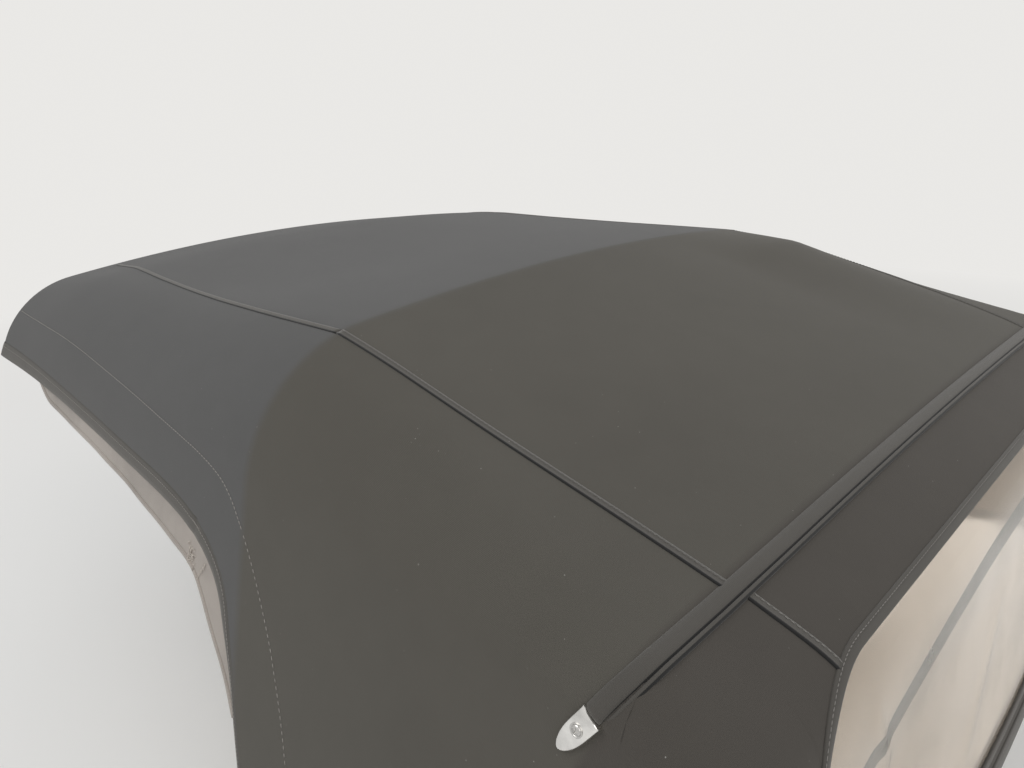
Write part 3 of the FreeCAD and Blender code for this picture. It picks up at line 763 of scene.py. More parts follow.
def weave_group():
    """Plain weave from two rows of round threads."""
    def build(g, i, o):
        x, y, _ = g.split(i["Vector"])
        su, sv = (g.math("SINE", g.times(g.math("DIVIDE", c, i["Pitch"]), math.pi)) for c in (x, y))
        over = g.times(su, sv)
        warp = g.times(g.math("ABSOLUTE", su), g.math("ADD", g.times(over, 0.5), 0.5))
        weft = g.times(g.math("ABSOLUTE", sv), g.math("SUBTRACT", 0.5, g.times(over, 0.5)))
        height = g.math("MAXIMUM", warp, weft)
        slub = g.noise(i["Vector"], 240.0, 2.0)
        g.put(o["Height"], g.math("ADD", height, g.times(slub, 0.6)))
        # Gap is 1 down between the threads, where the cloth and the lining paint shade.
        g.put(o["Gap"], g.range(height, 0.0, 0.45, 1.0, 0.0))
    return shared_group("cloth weave", [("Vector", "Vector", None), ("Pitch", "Float", 0.001)],
                        [("Height", "Float", None), ("Gap", "Float", None)], build)


def lint_group():
    """Sparse specks of lint in two sizes, each speck of its own brightness."""
    def build(g, i, o):
        total = None
        for scale, size, kept_out, shift in ((52.0, 0.040, 0.76, 0.0), (120.0, 0.068, 0.70, 3.3)):
            moved = g.node("ShaderNodeVectorMath", {0: i["Vector"], 1: (shift, shift, shift)}, operation="ADD")
            cell = g.node("ShaderNodeTexVoronoi", {"Vector": moved.outputs[0], "Scale": scale}, feature="F1").outputs
            pick = g.node("ShaderNodeSeparateColor", {0: cell["Color"]}).outputs
            near = g.range(cell["Distance"], size * 0.35, size, 1.0, 0.0)
            least = g.math("SUBTRACT", 1.0, g.times(i["Amount"], 1.0 - kept_out))
            dot = g.times(g.times(near, g.math("GREATER_THAN", pick[0], least)), pick[1])
            total = dot if total is None else g.math("MAXIMUM", total, dot)
        g.put(o["Mask"], total)
    return shared_group("lint", [("Vector", "Vector", None), ("Amount", "Float", 1.0)],
                        [("Mask", "Float", None)], build)


def mottle_group():
    """Slow change of tone, as in cloth that has been out in the sun."""
    def build(g, i, o):
        broad = g.noise(i["Vector"], 3.5, 3.0, 0.55)
        fine = g.noise(i["Vector"], 26.0, 4.0, 0.6)
        both = g.math("ADD", g.times(broad, 0.7), g.times(fine, 0.3))
        g.put(o["Value"], g.range(both, 0.35, 0.65, 0.0, 1.0))
    return shared_group("mottle", [("Vector", "Vector", None)], [("Value", "Float", None)], build)


def new_material(name):
    """Material, its graph, its shader and its output."""
    m = bpy.data.materials.new(name)
    m.use_nodes = True
    g = Graph(m.node_tree)
    shader = g.node("ShaderNodeBsdfPrincipled")
    return m, g, shader, g.node("ShaderNodeOutputMaterial", {"Surface": shader.outputs[0]})


# Where the cloth's painted light and shade change: x of the middle bow, with the lit front tone ahead of it and the
# shaded rear tone behind it, and below the welt's tips, where the back's painted shade starts at BACK_X less BACK_DEEP
# times the exponential of the drop below BACK_Z
BACK_Z, BACK_X, BACK_DEEP, BACK_FADE = 0.5512, -0.1748, 0.062, -7.7


def cloth_material(name, front, rear, back=None, lint=1.0, sheen=0.12, rough=0.95):
    """Woven black hood cloth: painted light and shade by place (a lit front tone, a shaded rear tone and the back's
    painted shade), random tone, weave with painted shade between its threads, lint and a soft sheen.
    """
    m, g, s, _ = new_material(name)
    at = g.place()
    weave = g.group(weave_group(), Vector=g.cloth_uv(), Pitch=0.0011)
    specks = g.group(lint_group(), Vector=at, Amount=lint)
    tone = g.group(mottle_group(), Vector=at)
    x, _, z = g.split(at)
    # Painted light and shade: ahead of the middle bow the cloth takes the lit front tone, behind it the shaded rear
    # tone.
    base = g.mix(g.range(x, MID_BOW[0] - 0.007, MID_BOW[0] + 0.007), colour(rear), colour(front))
    # Painted shade: below the welt's tips the side cloth takes the back's darker tone where it turns round to the back.
    if back is not None:
        drop = g.math("MAXIMUM", g.math("SUBTRACT", BACK_Z, z), 0.0)
        edge = g.math("SUBTRACT", BACK_X, g.times(BACK_DEEP, g.math("EXPONENT", g.times(drop, BACK_FADE))))
        base = g.mix(g.range(g.math("SUBTRACT", x, edge), -0.003, 0.003), colour(back), base)
    base = g.darker(g.times(tone[0], 0.22), base, (0.55, 0.55, 0.55))
    # Painted shade between the threads of the weave.
    base = g.darker(g.times(weave["Gap"], 0.35), base, (0.45, 0.45, 0.45))
    base = g.mix(g.times(specks[0], 0.62), base, (0.45, 0.44, 0.41, 1))
    height = g.math("ADD", g.times(weave["Height"], 0.00016), g.times(g.noise(at, 14.0, 3.0), 0.0009))
    g.finish(s, base, rough, height, 0.55, 1.0, Sheen_Weight=sheen, Sheen_Roughness=0.45,
             Sheen_Tint=(0.75, 0.74, 0.72, 1), Specular_IOR_Level=0.25)
    return m


def trim_material(name, rgb):
    """Binding tape and welt: less lint than the cloth and more sheen."""
    return cloth_material(name, rgb, rgb, lint=0.25, sheen=0.3, rough=0.85)


def lining_material(name, rgb):
    """Pale woven lining with faint stains and painted shade between its threads."""
    m, g, s, _ = new_material(name)
    at = g.place()
    weave = g.group(weave_group(), Vector=g.cloth_uv(), Pitch=0.0008)
    base = g.mix(g.range(g.noise(at, 9.0, 4.0, 0.6), 0.42, 0.72), colour(rgb), colour(rgb, 0.72))
    # Painted shade between the threads of the weave.
    base = g.darker(g.times(weave["Gap"], 0.3), base, (0.6, 0.58, 0.55))
    height = g.math("ADD", g.times(weave["Height"], 0.00014), g.times(g.noise(at, 30.0, 3.0), 0.0006))
    g.finish(s, base, 0.9, height, 0.6, 1.0, Sheen_Weight=0.25)
    return m


def thread_material(name, rgb):
    """Twisted thread."""
    m, g, s, _ = new_material(name)
    ply = g.noise(g.place(), 900.0, 2.0)
    g.finish(s, g.mix(ply, colour(rgb), colour(rgb, 0.55)), 0.7, ply, 0.4, 0.0004)
    return m


def paint_material(name, rgb, rough=0.38):
    """Stoved enamel on steel: orange peel, scuffs and dust."""
    m, g, s, _ = new_material(name)
    at = g.place()
    dust = g.range(g.noise(at, 22.0, 5.0, 0.65), 0.5, 0.72)
    scuff = g.range(g.noise(g.stretched(at, (18.0, 260.0, 90.0)), 1.0, 3.0), 0.68, 0.74)
    base = g.mix(g.times(dust, 0.35), colour(rgb), (0.16, 0.15, 0.135, 1))
    base = g.mix(g.times(scuff, 0.35), base, (0.22, 0.22, 0.22, 1))
    worn = g.range(g.math("ADD", dust, scuff), 0.0, 1.5, rough, rough + 0.3)
    g.finish(s, base, worn, g.noise(at, 420.0, 2.0), 0.25, 0.0003, Coat_Weight=0.25, Coat_Roughness=0.25)
    return m


def metal_material(name, rgb, rough=0.12, brushed=0.0):
    """Bright metal with a faint haze and fine marks along y."""
    m, g, s, _ = new_material(name)
    at = g.place()
    haze = g.range(g.noise(at, 60.0, 4.0, 0.6), 0.4, 0.7)
    fine = g.noise(g.stretched(at, (900.0, 60.0, 900.0)), 1.0, 2.0)
    base = g.mix(g.times(haze, 0.5), colour(rgb), colour(rgb, 0.5))
    g.finish(s, base, g.math("ADD", rough, g.times(haze, 0.12)), fine, 0.1 + 0.4 * brushed, 0.0002, Metallic=1.0)
    return m


def rubber_material(name):
    """Black rubber with a grey bloom."""
    m, g, s, _ = new_material(name)
    at = g.place()
    bloom = g.range(g.noise(at, 35.0, 4.0, 0.6), 0.45, 0.75)
    base = g.mix(g.times(bloom, 0.5), (0.018, 0.018, 0.018, 1), (0.06, 0.058, 0.055, 1))
    g.finish(s, base, g.range(bloom, 0.0, 1.0, 0.5, 0.75), g.noise(at, 700.0, 2.0), 0.3, 0.0003)
    return m


# Painted grey strip across the clear window, standing in for a shadow seen in it: its z in the middle, how it bends
# with y squared, and its half-width
BAND_Z, BAND_BEND, BAND_HALF = 0.513, 0.38, 0.0120


def vinyl_material(name):
    """Clear vinyl, gone slightly milky, with soft ripples, a warm cream tint painted in for the car body seen through
    it, and a painted grey strip that stands in for a shadow.
    """
    m, g, s, _ = new_material(name)
    at = g.place()
    haze = g.range(g.noise(at, 7.0, 4.0, 0.6), 0.35, 0.75)
    _, y, z = g.split(at)
    # Painted shade: a grey strip across the pane, standing in for a shadow seen in it.
    off = g.math("ABSOLUTE", g.math("SUBTRACT", g.math("ADD", z, g.times(g.times(y, y), BAND_BEND)), BAND_Z))
    band = g.range(off, BAND_HALF, BAND_HALF + 0.0012, 1.0, 0.0)
    # Painted light: the pane's warm cream tint stands in for the cream car body seen through it.
    clear = g.mix(haze, (0.92, 0.83, 0.73, 1), (0.84, 0.75, 0.65, 1))
    rough = g.math("ADD", g.range(haze, 0.0, 1.0, 0.06, 0.18), g.times(band, 0.12))
    # The strip takes a flat grey in place of the clear tint: painted shade.
    g.finish(s, g.mix(band, clear, (0.56, 0.54, 0.50, 1)), rough, g.noise(at, 6.0, 1.0, 0.4), 0.25, 0.006,
             Transmission_Weight=0.88, IOR=1.18)
    return m


def webbing_material(name, rgb):
    """Ribbed webbing, its ribs in a herringbone about the strap's middle, with painted shade in the valleys between
    them.
    """
    m, g, s, _ = new_material(name)
    x, y, _ = g.split(g.cloth_uv())
    bent = g.math("ADD", x, g.math("ABSOLUTE", g.math("SUBTRACT", y, WEBBING_HALF)))
    ribs = g.math("SINE", g.times(bent, 2 * math.pi / 0.003))
    # Painted shade: the valleys between the ribs take half the colour.
    g.finish(s, g.mix(g.range(ribs, -1.0, 1.0), colour(rgb, 0.5), colour(rgb)), 0.8, ribs, 0.5, 0.0005)
    return m


MATERIALS = {}


def material(key):
    """The material of that key, made on first use."""
    if key not in MATERIALS:
        scene = bpy.context.scene
        cloth, trim, metal = scene.soft_top_cloth, scene.soft_top_trim, scene.soft_top_metal
        maker, *values = {
            "cloth": (cloth_material, "hood_cloth", cloth.front_colour, cloth.rear_colour, cloth.curtain_colour),
            "inner": (lining_material, "headlining_face", cloth.inner_colour),
            # The curtain takes the back's darker tone all over: painted shade on the cloth that faces backwards.
            "curtain": (cloth_material, "curtain_cloth", cloth.curtain_colour, cloth.curtain_colour),
            "tape": (trim_material, "trim_tape", trim.tape_colour),
            # Near-black painted shadow for the step beside the seams and on both sides of the welt's bead.
            "groove": (trim_material, "trim_groove", (0.012, 0.012, 0.012)),
            "thread": (thread_material, "pale_thread", trim.thread_colour),
            "worn_thread": (thread_material, "worn_thread", colour(trim.thread_colour, 0.42)),
            "grey_thread": (thread_material, "grey_thread", colour(trim.thread_colour, 0.6)),
            "brown_thread": (thread_material, "brown_thread", (0.16, 0.11, 0.075)),
            "fray": (thread_material, "frayed_thread", (0.62, 0.56, 0.50)),
            "lining": (lining_material, "lining_cloth", trim.lining_colour),
            "webbing": (webbing_material, "roof_webbing", (0.05, 0.048, 0.044)),
            "paint": (paint_material, "frame_enamel", metal.paint_colour),
            "header": (paint_material, "header_enamel", colour(metal.paint_colour, 0.9), 0.45),
            "steel": (metal_material, "pin_steel", (0.55, 0.55, 0.54), 0.3, 0.5),
            "chrome": (metal_material, "bright_chrome", metal.bright_colour, 0.07),
            "screw": (metal_material, "screw_steel", colour(metal.bright_colour, 0.72), 0.22, 0.2),
            "rubber": (rubber_material, "seal_rubber"),
            "vinyl": (vinyl_material, "clear_vinyl"),
        }[key]
        MATERIALS[key] = maker(*values)
    return MATERIALS[key]


# ------------------------------------------------------------------ settings
TINT = {"subtype": "COLOR", "size": 3, "min": 0, "max": 1}


class SoftTopCloth(bpy.types.PropertyGroup):
    """Cloth of the top"""
    # Painted light: a lighter, cooler copy of the cloth's colour, for the light that falls on the front panel.
    front_colour: bpy.props.FloatVectorProperty(
        name="Front panel", description="Colour of the cloth ahead of the middle bow",
        default=(0.086, 0.085, 0.084), **TINT)
    # Painted shade: a darker, browner copy of the cloth's colour, for the shade and warm reflection behind the middle
    # bow.
    rear_colour: bpy.props.FloatVectorProperty(
        name="Rear panels", description="Colour of the cloth behind the middle bow",
        default=(0.076, 0.0705, 0.060), **TINT)
    # Painted shade: a darker copy of the cloth's colour for the back round the rear window, where less light falls.
    curtain_colour: bpy.props.FloatVectorProperty(
        name="Curtain", description="Colour of the cloth round the rear window",
        default=(0.060, 0.054, 0.047), **TINT)
    inner_colour: bpy.props.FloatVectorProperty(
        name="Inner face", description="Colour of the cloth's inner face",
        default=(0.30, 0.27, 0.23), **TINT)
    thickness: bpy.props.FloatProperty(
        name="Thickness", description="Thickness of the cloth",
        default=0.0022, min=0.001, max=0.004, unit="LENGTH")
    sag: bpy.props.FloatProperty(
        name="Sag", description="How far the cloth hangs between two bows",
        default=0.0022, min=0.0, max=0.012, unit="LENGTH")


class SoftTopTrim(bpy.types.PropertyGroup):
    """Tape, thread, lining and welt"""
    tape_colour: bpy.props.FloatVectorProperty(
        name="Tape", description="Colour of the binding tape and the welt",
        default=(0.066, 0.061, 0.054), **TINT)
    thread_colour: bpy.props.FloatVectorProperty(
        name="Thread", description="Colour of the pale stitching",
        default=(0.33, 0.31, 0.285), **TINT)
    lining_colour: bpy.props.FloatVectorProperty(
        name="Lining", description="Colour of the lining flap",
        default=(0.30, 0.265, 0.235), **TINT)
    stitch_length: bpy.props.FloatProperty(
        name="Stitch", description="Length of one stitch",
        default=0.0042, min=0.002, max=0.008, unit="LENGTH")
    stitch_pitch: bpy.props.FloatProperty(
        name="Stitch spacing", description="Distance from one stitch to the next",
        default=0.0058, min=0.003, max=0.012, unit="LENGTH")
    welt_height: bpy.props.FloatProperty(
        name="Welt height", description="Height of the welt over the cloth",
        default=0.0030, min=0.002, max=0.008, unit="LENGTH")


class SoftTopMetal(bpy.types.PropertyGroup):
    """Painted and bright metal"""
    paint_colour: bpy.props.FloatVectorProperty(
        name="Enamel", description="Colour of the painted frame",
        default=(0.022, 0.022, 0.023), **TINT)
    bright_colour: bpy.props.FloatVectorProperty(
        name="Chrome", description="Colour of the bright metal",
        default=(0.80, 0.79, 0.77), **TINT)
    screw_radius: bpy.props.FloatProperty(
        name="Screw head", description="Radius of the tip's screw head",
        default=0.0036, min=0.002, max=0.006, unit="LENGTH")


class SoftTopStage(bpy.types.PropertyGroup):
    """Floor and lamps"""
    floor_colour: bpy.props.FloatVectorProperty(
        name="Floor", description="Colour of the floor",
        default=(0.80, 0.79, 0.77), **TINT)
    lamp_power: bpy.props.FloatProperty(
        name="Lamp power", description="Power of the main soft lamp",
        default=60.0, min=0.0, max=1000.0, unit="POWER")
    floor_drop: bpy.props.FloatProperty(
        name="Floor drop", description="Distance of the floor below the brackets",
        default=0.002, min=0.0, max=0.5, unit="LENGTH")


# ------------------------------------------------------------------ cloth
def edge_z(x):
    """Height of the opening's upper edge at x."""
    return float(np.interp(x, OPENING_LINE[::-1, 0], OPENING_LINE[::-1, 1]))


def edge_x(z):
    """Station of the opening's rear edge at height z."""
    return float(np.interp(z, OPENING_LINE[::-1, 1], OPENING_LINE[::-1, 0]))


def x_front(y):
    """Station of the header's front edge at y."""
    return HEADER_TIP_X - HEADER_PLAN_RADIUS + math.sqrt(HEADER_PLAN_RADIUS**2 - y * y)


FOLDS = {
    "top": {"axis": (0.985, 0, -0.174), "anchor": (MID_BOW[0], 0, 0.655), "keep": 0.06},
    "side": {"axis": (0.228, 0, 0.974), "anchor": (0.120, 0, 0.120), "keep": 0.25},
    "flap": {"axis": (-0.097, 0, 0.995), "anchor": (0.600, 0, 0.530), "keep": 0.28},
}


def settle(obj, body, slot, fold=None, node=None):
    """Set a piece on its body, crumpled as the panel it is sewn to, with its slot and the node it replaces."""
    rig.ride(obj, body)
    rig.slot(obj, slot)
    if fold:
        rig.squash(obj, "roof_fold", **FOLDS[fold])
    if node:
        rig.replaces(obj, node)


def ride_back(obj, slot="cloth_trim", node=None):
    """Let a piece on the back hang between the belt and the rear hoop."""
    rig.blend(obj, ROOT, HOOP, start=(-0.375, 0, 0.236), end=(-0.27, 0, 0.52))
    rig.slot(obj, slot)
    if node:
        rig.replaces(obj, node)


def panel(name, grid, key="cloth", keep=None):
    """Sheet of hood cloth from a grid of points with their UV: (x, y, z, u, v)."""
    points = grid.reshape(-1, 5)
    faces = grid_faces(*grid.shape[:2], keep=keep)
    obj = new_mesh(name, points[:, :3], faces, points[:, 3:], [material(key), material("inner")])
    merge_close(obj)
    area = face_out(obj)
    thicken(obj, bpy.context.scene.soft_top_cloth.thickness)
    declare_cloth(obj, area)
    return obj


def both_halves(left, across):
    """A grid of the left half, from the middle out, after its mirror image; across is its UV's cross column."""
    right = left[:0:-1].copy()
    right[..., (1, across)] *= -1
    return np.concatenate([right, left])


class BuildFrontCloth(bpy.types.Operator):
    """Lays the front panel over the header, the side rails and the middle bow"""
    bl_idname = "soft_top.front_cloth"
    bl_label = "Front panel"

    def execute(self, context):
        inner, outer = 24, 22
        # Rows from the middle to the seam, then on to the lower edge: (part, fraction)
        rows = [(0, k / inner) for k in range(inner)] + [(1, k / outer) for k in range(outer + 1)]
        stations = np.unique(np.concatenate([
            np.linspace(a, b, n) for a, b, n in ((0, 0.04, 6), (0.04, 0.74, 36), (0.74, 0.88, 12), (0.88, 1, 8))]))
        turn_r, turn_down = 0.007, np.array((0, 0, -1))
        columns = []
        for part, f in rows:
            line = []
            for s in stations:
                y = SEAM_Y * f if part == 0 else SEAM_Y + f * 0.16
                x = MID_BOW[0] + s * (x_front(y) - MID_BOW[0])
                a, b = girth_at_y(x, SEAM_Y), girth_at_z(x, max(edge_z(x), SPLIT_Z))
                g = a * f if part == 0 else a + (b - a) * f
                line.append(np.append(on_roof(x, g)[0], (x, g)))
            # The front edge turns down round the header
            x, y, z, u, v = line[-1]
            out = np.array(Vector((1, y / HEADER_PLAN_RADIUS, 0)).normalized())
            for a in np.radians((15, 35, 55, 75, 90)):
                step = out * turn_r * math.sin(a) + turn_down * turn_r * (1 - math.cos(a))
                line.append(np.append((x, y, z) + step, (u + turn_r * a, v)))
            x, y, z, u, v = line[-1]
            line += [np.array((x, y, z - k, u + k, v)) for k in (0.006, 0.012, 0.018)]
            columns.append(line)
        settle(panel("front_cloth", both_halves(np.array(columns), 4)), FRONT, "cloth", node="front_deck")
        return {"FINISHED"}


class BuildRearTop(bpy.types.Operator):
    """Lays the rear panel between the seams, from the middle bow to the welt"""
    bl_idname = "soft_top.rear_top"
    bl_label = "Rear panel"

    def execute(self, context):
        stations = np.unique(np.concatenate([np.linspace(-0.2505, 0.150, 34), np.linspace(0.150, MID_BOW[0], 9)]))
        grid = []
        for y in np.linspace(-SEAM_Y, SEAM_Y, 61):
            girths = [np.sign(y) * girth_at_y(x, abs(y)) for x in stations]
            grid.append([np.append(on_roof(x, g)[0], (x, g)) for x, g in zip(stations, girths)])
        obj = panel("rear_top_cloth", np.array(grid))
        settle(obj, FRONT, "cloth", "top", "rear_deck")
        raise_far_side(obj)
        return {"FINISHED"}


class BuildSidePanels(bpy.types.Operator):
    """Hangs the side panels from the seams to the belt, behind the side openings"""
    bl_idname = "soft_top.side_panels"
    bl_label = "Side panels"

    def execute(self, context):
        back, mid = REAR_BOW[0], MID_BOW[0]
        tip_x = edge_x(SPLIT_Z)
        main, upper, lower = 34, 26, 30
        xs = np.concatenate([np.linspace(back, mid, main), np.linspace(mid, tip_x, 6)[1:]])
        fractions = (xs - back) / (tip_x - back)
        # Rows above the split end at the middle bow, the others at the opening's rear edge
        counts = [main] * upper + [len(xs)] * (lower + 1)
        points, uv, faces, index = [], [], [], {}
        for i, count in enumerate(counts):
            for j in range(count):
                if i <= upper:
                    x, f = xs[j], i / upper
                    a, b = girth_at_y(x, SEAM_Y), girth_at_z(x, SPLIT_Z)
                else:
                    f = (i - upper) / lower
                    z_front = SPLIT_Z + (BELT_FRONT[1] - SPLIT_Z) * f
                    x = back + fractions[j] * (edge_x(z_front) - back)
                    a, b = girth_at_z(x, SPLIT_Z), girth_at_z(x, belt_z(x))
                g = a + (b - a) * f
                index[i, j] = len(points)
                points.append(on_roof(x, g)[0])
                uv.append((x, g))
        for i, count in enumerate(counts[:-1]):
            faces += [(index[i, j], index[i, j + 1], index[i + 1, j + 1], index[i + 1, j]) for j in range(count - 1)]
        left = new_mesh("side_cloth_left", points, faces, uv, [material("cloth"), material("inner")])
        right = mirrored_copy(left, "side_cloth_right")
        raise_far_side(right)
        for obj, side in ((left, "left"), (right, "right")):
            area = face_out(obj)
            thicken(obj, context.scene.soft_top_cloth.thickness)
            declare_cloth(obj, area)
            settle(obj, ROOT, "cloth", "side", "quarter_" + side)
        return {"FINISHED"}


# Rear window: half-width, lower and upper edge, corner radius, the corners' heights below and above, and the bend of
# its upper edge with y squared
PANE_HALF, PANE_LOW, PANE_HIGH, PANE_RADIUS = 0.420, 0.268, 0.5655, 0.085
PANE_LOW_CORNER, PANE_HIGH_CORNER, PANE_BEND = 0.060, 0.044, 0.072
# Creases in the clear pane: two ends (y, z), depth and width
CREASES = (
    ((0.400, 0.497), (0.350, 0.448), 0.0026, 0.0060), ((0.398, 0.486), (0.325, 0.440), 0.0020, 0.0050),
    ((0.345, 0.520), (0.310, 0.452), 0.0024, 0.0070), ((0.405, 0.470), (0.370, 0.400), 0.0022, 0.0065),
    ((0.300, 0.455), (0.360, 0.360), 0.0016, 0.0090), ((-0.400, 0.490), (-0.335, 0.430), 0.0022, 0.0065),
    ((-0.395, 0.470), (-0.360, 0.380), 0.0018, 0.0070), ((-0.340, 0.530), (-0.290, 0.460), 0.0016, 0.0080),
    ((0.12, 0.300), (0.02, 0.420), 0.0012, 0.0140),
)


def pane_columns(straight, corner):
    """The y of the window's columns on the left, closer together round its corners."""
    turn = np.sin(np.radians(np.linspace(0, 90, corner)))[1:]
    edge = PANE_HALF - PANE_RADIUS
    return np.concatenate([np.linspace(0, edge, straight), edge + PANE_RADIUS * turn])


def pane_limits(y):
    """Heights of the window's lower and upper edge in the column at y."""
    t = share((abs(y) - (PANE_HALF - PANE_RADIUS)) / PANE_RADIUS)
    turn = 1 - math.sqrt(1 - t * t)
    return PANE_LOW + PANE_LOW_CORNER * turn, PANE_HIGH - PANE_HIGH_CORNER * turn - PANE_BEND * y * y


def pane_outline(count):
    """The window's edge as a closed (y, z) line, from the middle of its lower edge round by the left."""
    ys = pane_columns(60, 40)
    low, high = np.array([pane_limits(y) for y in ys]).T
    left = np.vstack([np.stack([ys, low], 1), np.stack([ys, high], 1)[::-1]])
    right = left[::-1] * (-1, 1)
    return respaced(np.vstack([left, right[1:]]), count + 1)


def wrinkle(y, z):
    """Depth of the pane's soft waves and creases, fading out at its binding."""
    low, high = pane_limits(y)
    held = share(min(PANE_HALF - abs(y), z - low, high - z) / 0.018)
    depth = 0.0012 * math.sin(7 * y + 1.0) * math.sin(11 * z + 2 * y)
    for (ya, za), (yb, zb), deep, wide in CREASES:
        dy, dz = yb - ya, zb - za
        run = math.hypot(dy, dz)
        t = ((y - ya) * dy + (z - za) * dz) / run**2
        off = ((y - ya) * dz - (z - za) * dy) / run
        depth += deep * share(t * 5 + 0.2) * share((1.15 - t) * 3) * math.exp(-((off / wide) ** 2))
    return depth * eased(held)


class BuildCurtain(bpy.types.Operator):
    """Makes the back of the top and sets the clear window into it"""
    bl_idname = "soft_top.curtain"
    bl_label = "Curtain and window"

    def execute(self, context):
        inner = pane_columns(20, 13)
        inside = len(inner)
        vs = [v_at_y(y) for y in inner]
        vs = np.concatenate([vs, np.linspace(vs[-1], 1, 34)[1:]])
        # Rows above, beside and below the window; outside it their limits ease to these shares of u at the foot
        upper, middle, lower = 10, 22, 14
        foot_a, foot_b = 0.30, 0.72
        width, depth = 0.95, 0.52
        columns = []
        for j, v in enumerate(vs):
            if j < inside:
                low, high = pane_limits(inner[j])
                a, b = a0, b0 = u_at_z(v, high), u_at_z(v, low)
            else:
                t = (v - vs[inside - 1]) / (1 - vs[inside - 1])
                a, b = a0 + (foot_a - a0) * t, b0 + (foot_b - b0) * t
            us = np.concatenate([np.linspace(0, a, upper + 1), np.linspace(a, b, middle + 1)[1:],
                                 np.linspace(b, 1, lower + 1)[1:]])
            columns.append([np.append(on_fan(u, v), (v * width, u * depth)) for u in us])
        full = both_halves(np.array(columns), 3)
        middle_columns = range(len(vs) - inside, len(vs) + inside - 2)

        def in_window(i, j):
            return i in middle_columns and upper <= j < upper + middle
        curtain = panel("curtain_cloth", full, "curtain", keep=lambda i, j: not in_window(i, j))
        points = full.reshape(-1, 5)
        pane = new_mesh("rear_pane", points[:, :3], grid_faces(*full.shape[:2], keep=in_window), points[:, 3:],
                        [material("vinyl")])
        merge_close(pane)
        face_out(pane)
        apply_modifier(pane, "SUBSURF", levels=1, render_levels=1)
        for v in pane.data.vertices:
            v.co -= v.normal * (0.0014 - wrinkle(v.co.y, v.co.z))
        thicken(pane, 0.0008, 0, even=False)
        ride_back(curtain, "cloth", "rear_curtain")
        ride_back(pane, "window_vinyl", "rear_window")
        return {"FINISHED"}


# ------------------------------------------------------------------ trim
def stitch_mesh():
    """One stitch, modelled once: a short thread that dips into the cloth at both ends."""
    bpy.ops.mesh.primitive_uv_sphere_add(segments=6, ring_count=5, radius=0.5, rotation=(0, math.pi / 2, 0))
    obj = bpy.context.object
    bpy.ops.object.transform_apply(location=True, rotation=True, scale=True)
    pick(obj, "FACE", lambda c, n: True)
    bpy.ops.transform.resize(value=(bpy.context.scene.soft_top_trim.stitch_length, 0.0011, 0.0009))
    bpy.ops.object.mode_set(mode="OBJECT")
    mesh = obj.data
    model = np.array([v.co for v in mesh.vertices]), [tuple(p.vertices) for p in mesh.polygons]
    bpy.data.objects.remove(obj)
    bpy.data.meshes.remove(mesh)
    return model


STITCH = []


def stitch_row(name, points, normals, key="thread", pitch=None, lift=0.0003, size=1.0):
    """Copies of the stitch along a line on the cloth, each turned a little out of line."""
    pitch = pitch or bpy.context.scene.soft_top_trim.stitch_pitch
    p, n = np.array(points, float), np.array(normals, float)
    d = run_length(p)
    count = max(int(d[-1] / pitch), 2)
    t = (np.arange(count) + 0.5) * d[-1] / count
    q = at_lengths(t, d, p)
    g = unit(at_lengths(t + 0.001, d, p) - at_lengths(t - 0.001, d, p))
    m = at_lengths(t, d, n)
    m = unit(m - (m * g).sum(1, keepdims=True) * g)
    skew = np.random.default_rng(len(p) + count).normal(0, 0.05, count)[:, None]
    along = g * np.cos(skew) + np.cross(m, g) * np.sin(skew)
    axes = np.stack([along, np.cross(m, along), m], 1)
    if not STITCH:
        STITCH.extend(stitch_mesh())
    verts, faces = STITCH
    all_points = (q + m * lift)[:, None] + (verts * size) @ axes
    all_faces = [tuple(i + k * len(verts) for i in f) for k in range(count) for f in faces]
    return new_mesh(name, all_points.reshape(-1, 3), all_faces, None, [material(key)])


def roof_line(pairs):
    """Points and normals on the cloth at (x, girth) pairs."""
    return frames([roof_frame(x, g) for x, g in pairs])


def side_line(pairs):
    """Points and normals on the side wall at (x, z) pairs."""
    return roof_line([(x, girth_at_z(x, z)) for x, z in pairs])


def both_sides(left, body, fold=None, slot="cloth_trim", node=None):
    """Adds the right-hand mirror image of a left piece and sets both on their body."""
    for o in (left, mirrored_copy(left, left.name.replace("_left", "_right"))):
        settle(o, body, slot, fold, node and node + o.name[o.name.rindex("_"):])


def shifted(p, n, across, up=0.0):
    """A line moved sideways along the cloth and off it."""
    return p + np.cross(unit(np.gradient(p, axis=0)), n) * across + n * up


def flipped(profile, sign):
    """A profile turned over from side to side where the sign is negative."""
    return [(sign * a, b) for a, b in profile]


def side_towards(p, n, aim, k=0):
    """1 or -1: the side of a line on the cloth on which the direction aim lies at its point k."""
    return 1 if np.cross(p[k + 1] - p[k], n[k]) @ aim > 0 else -1


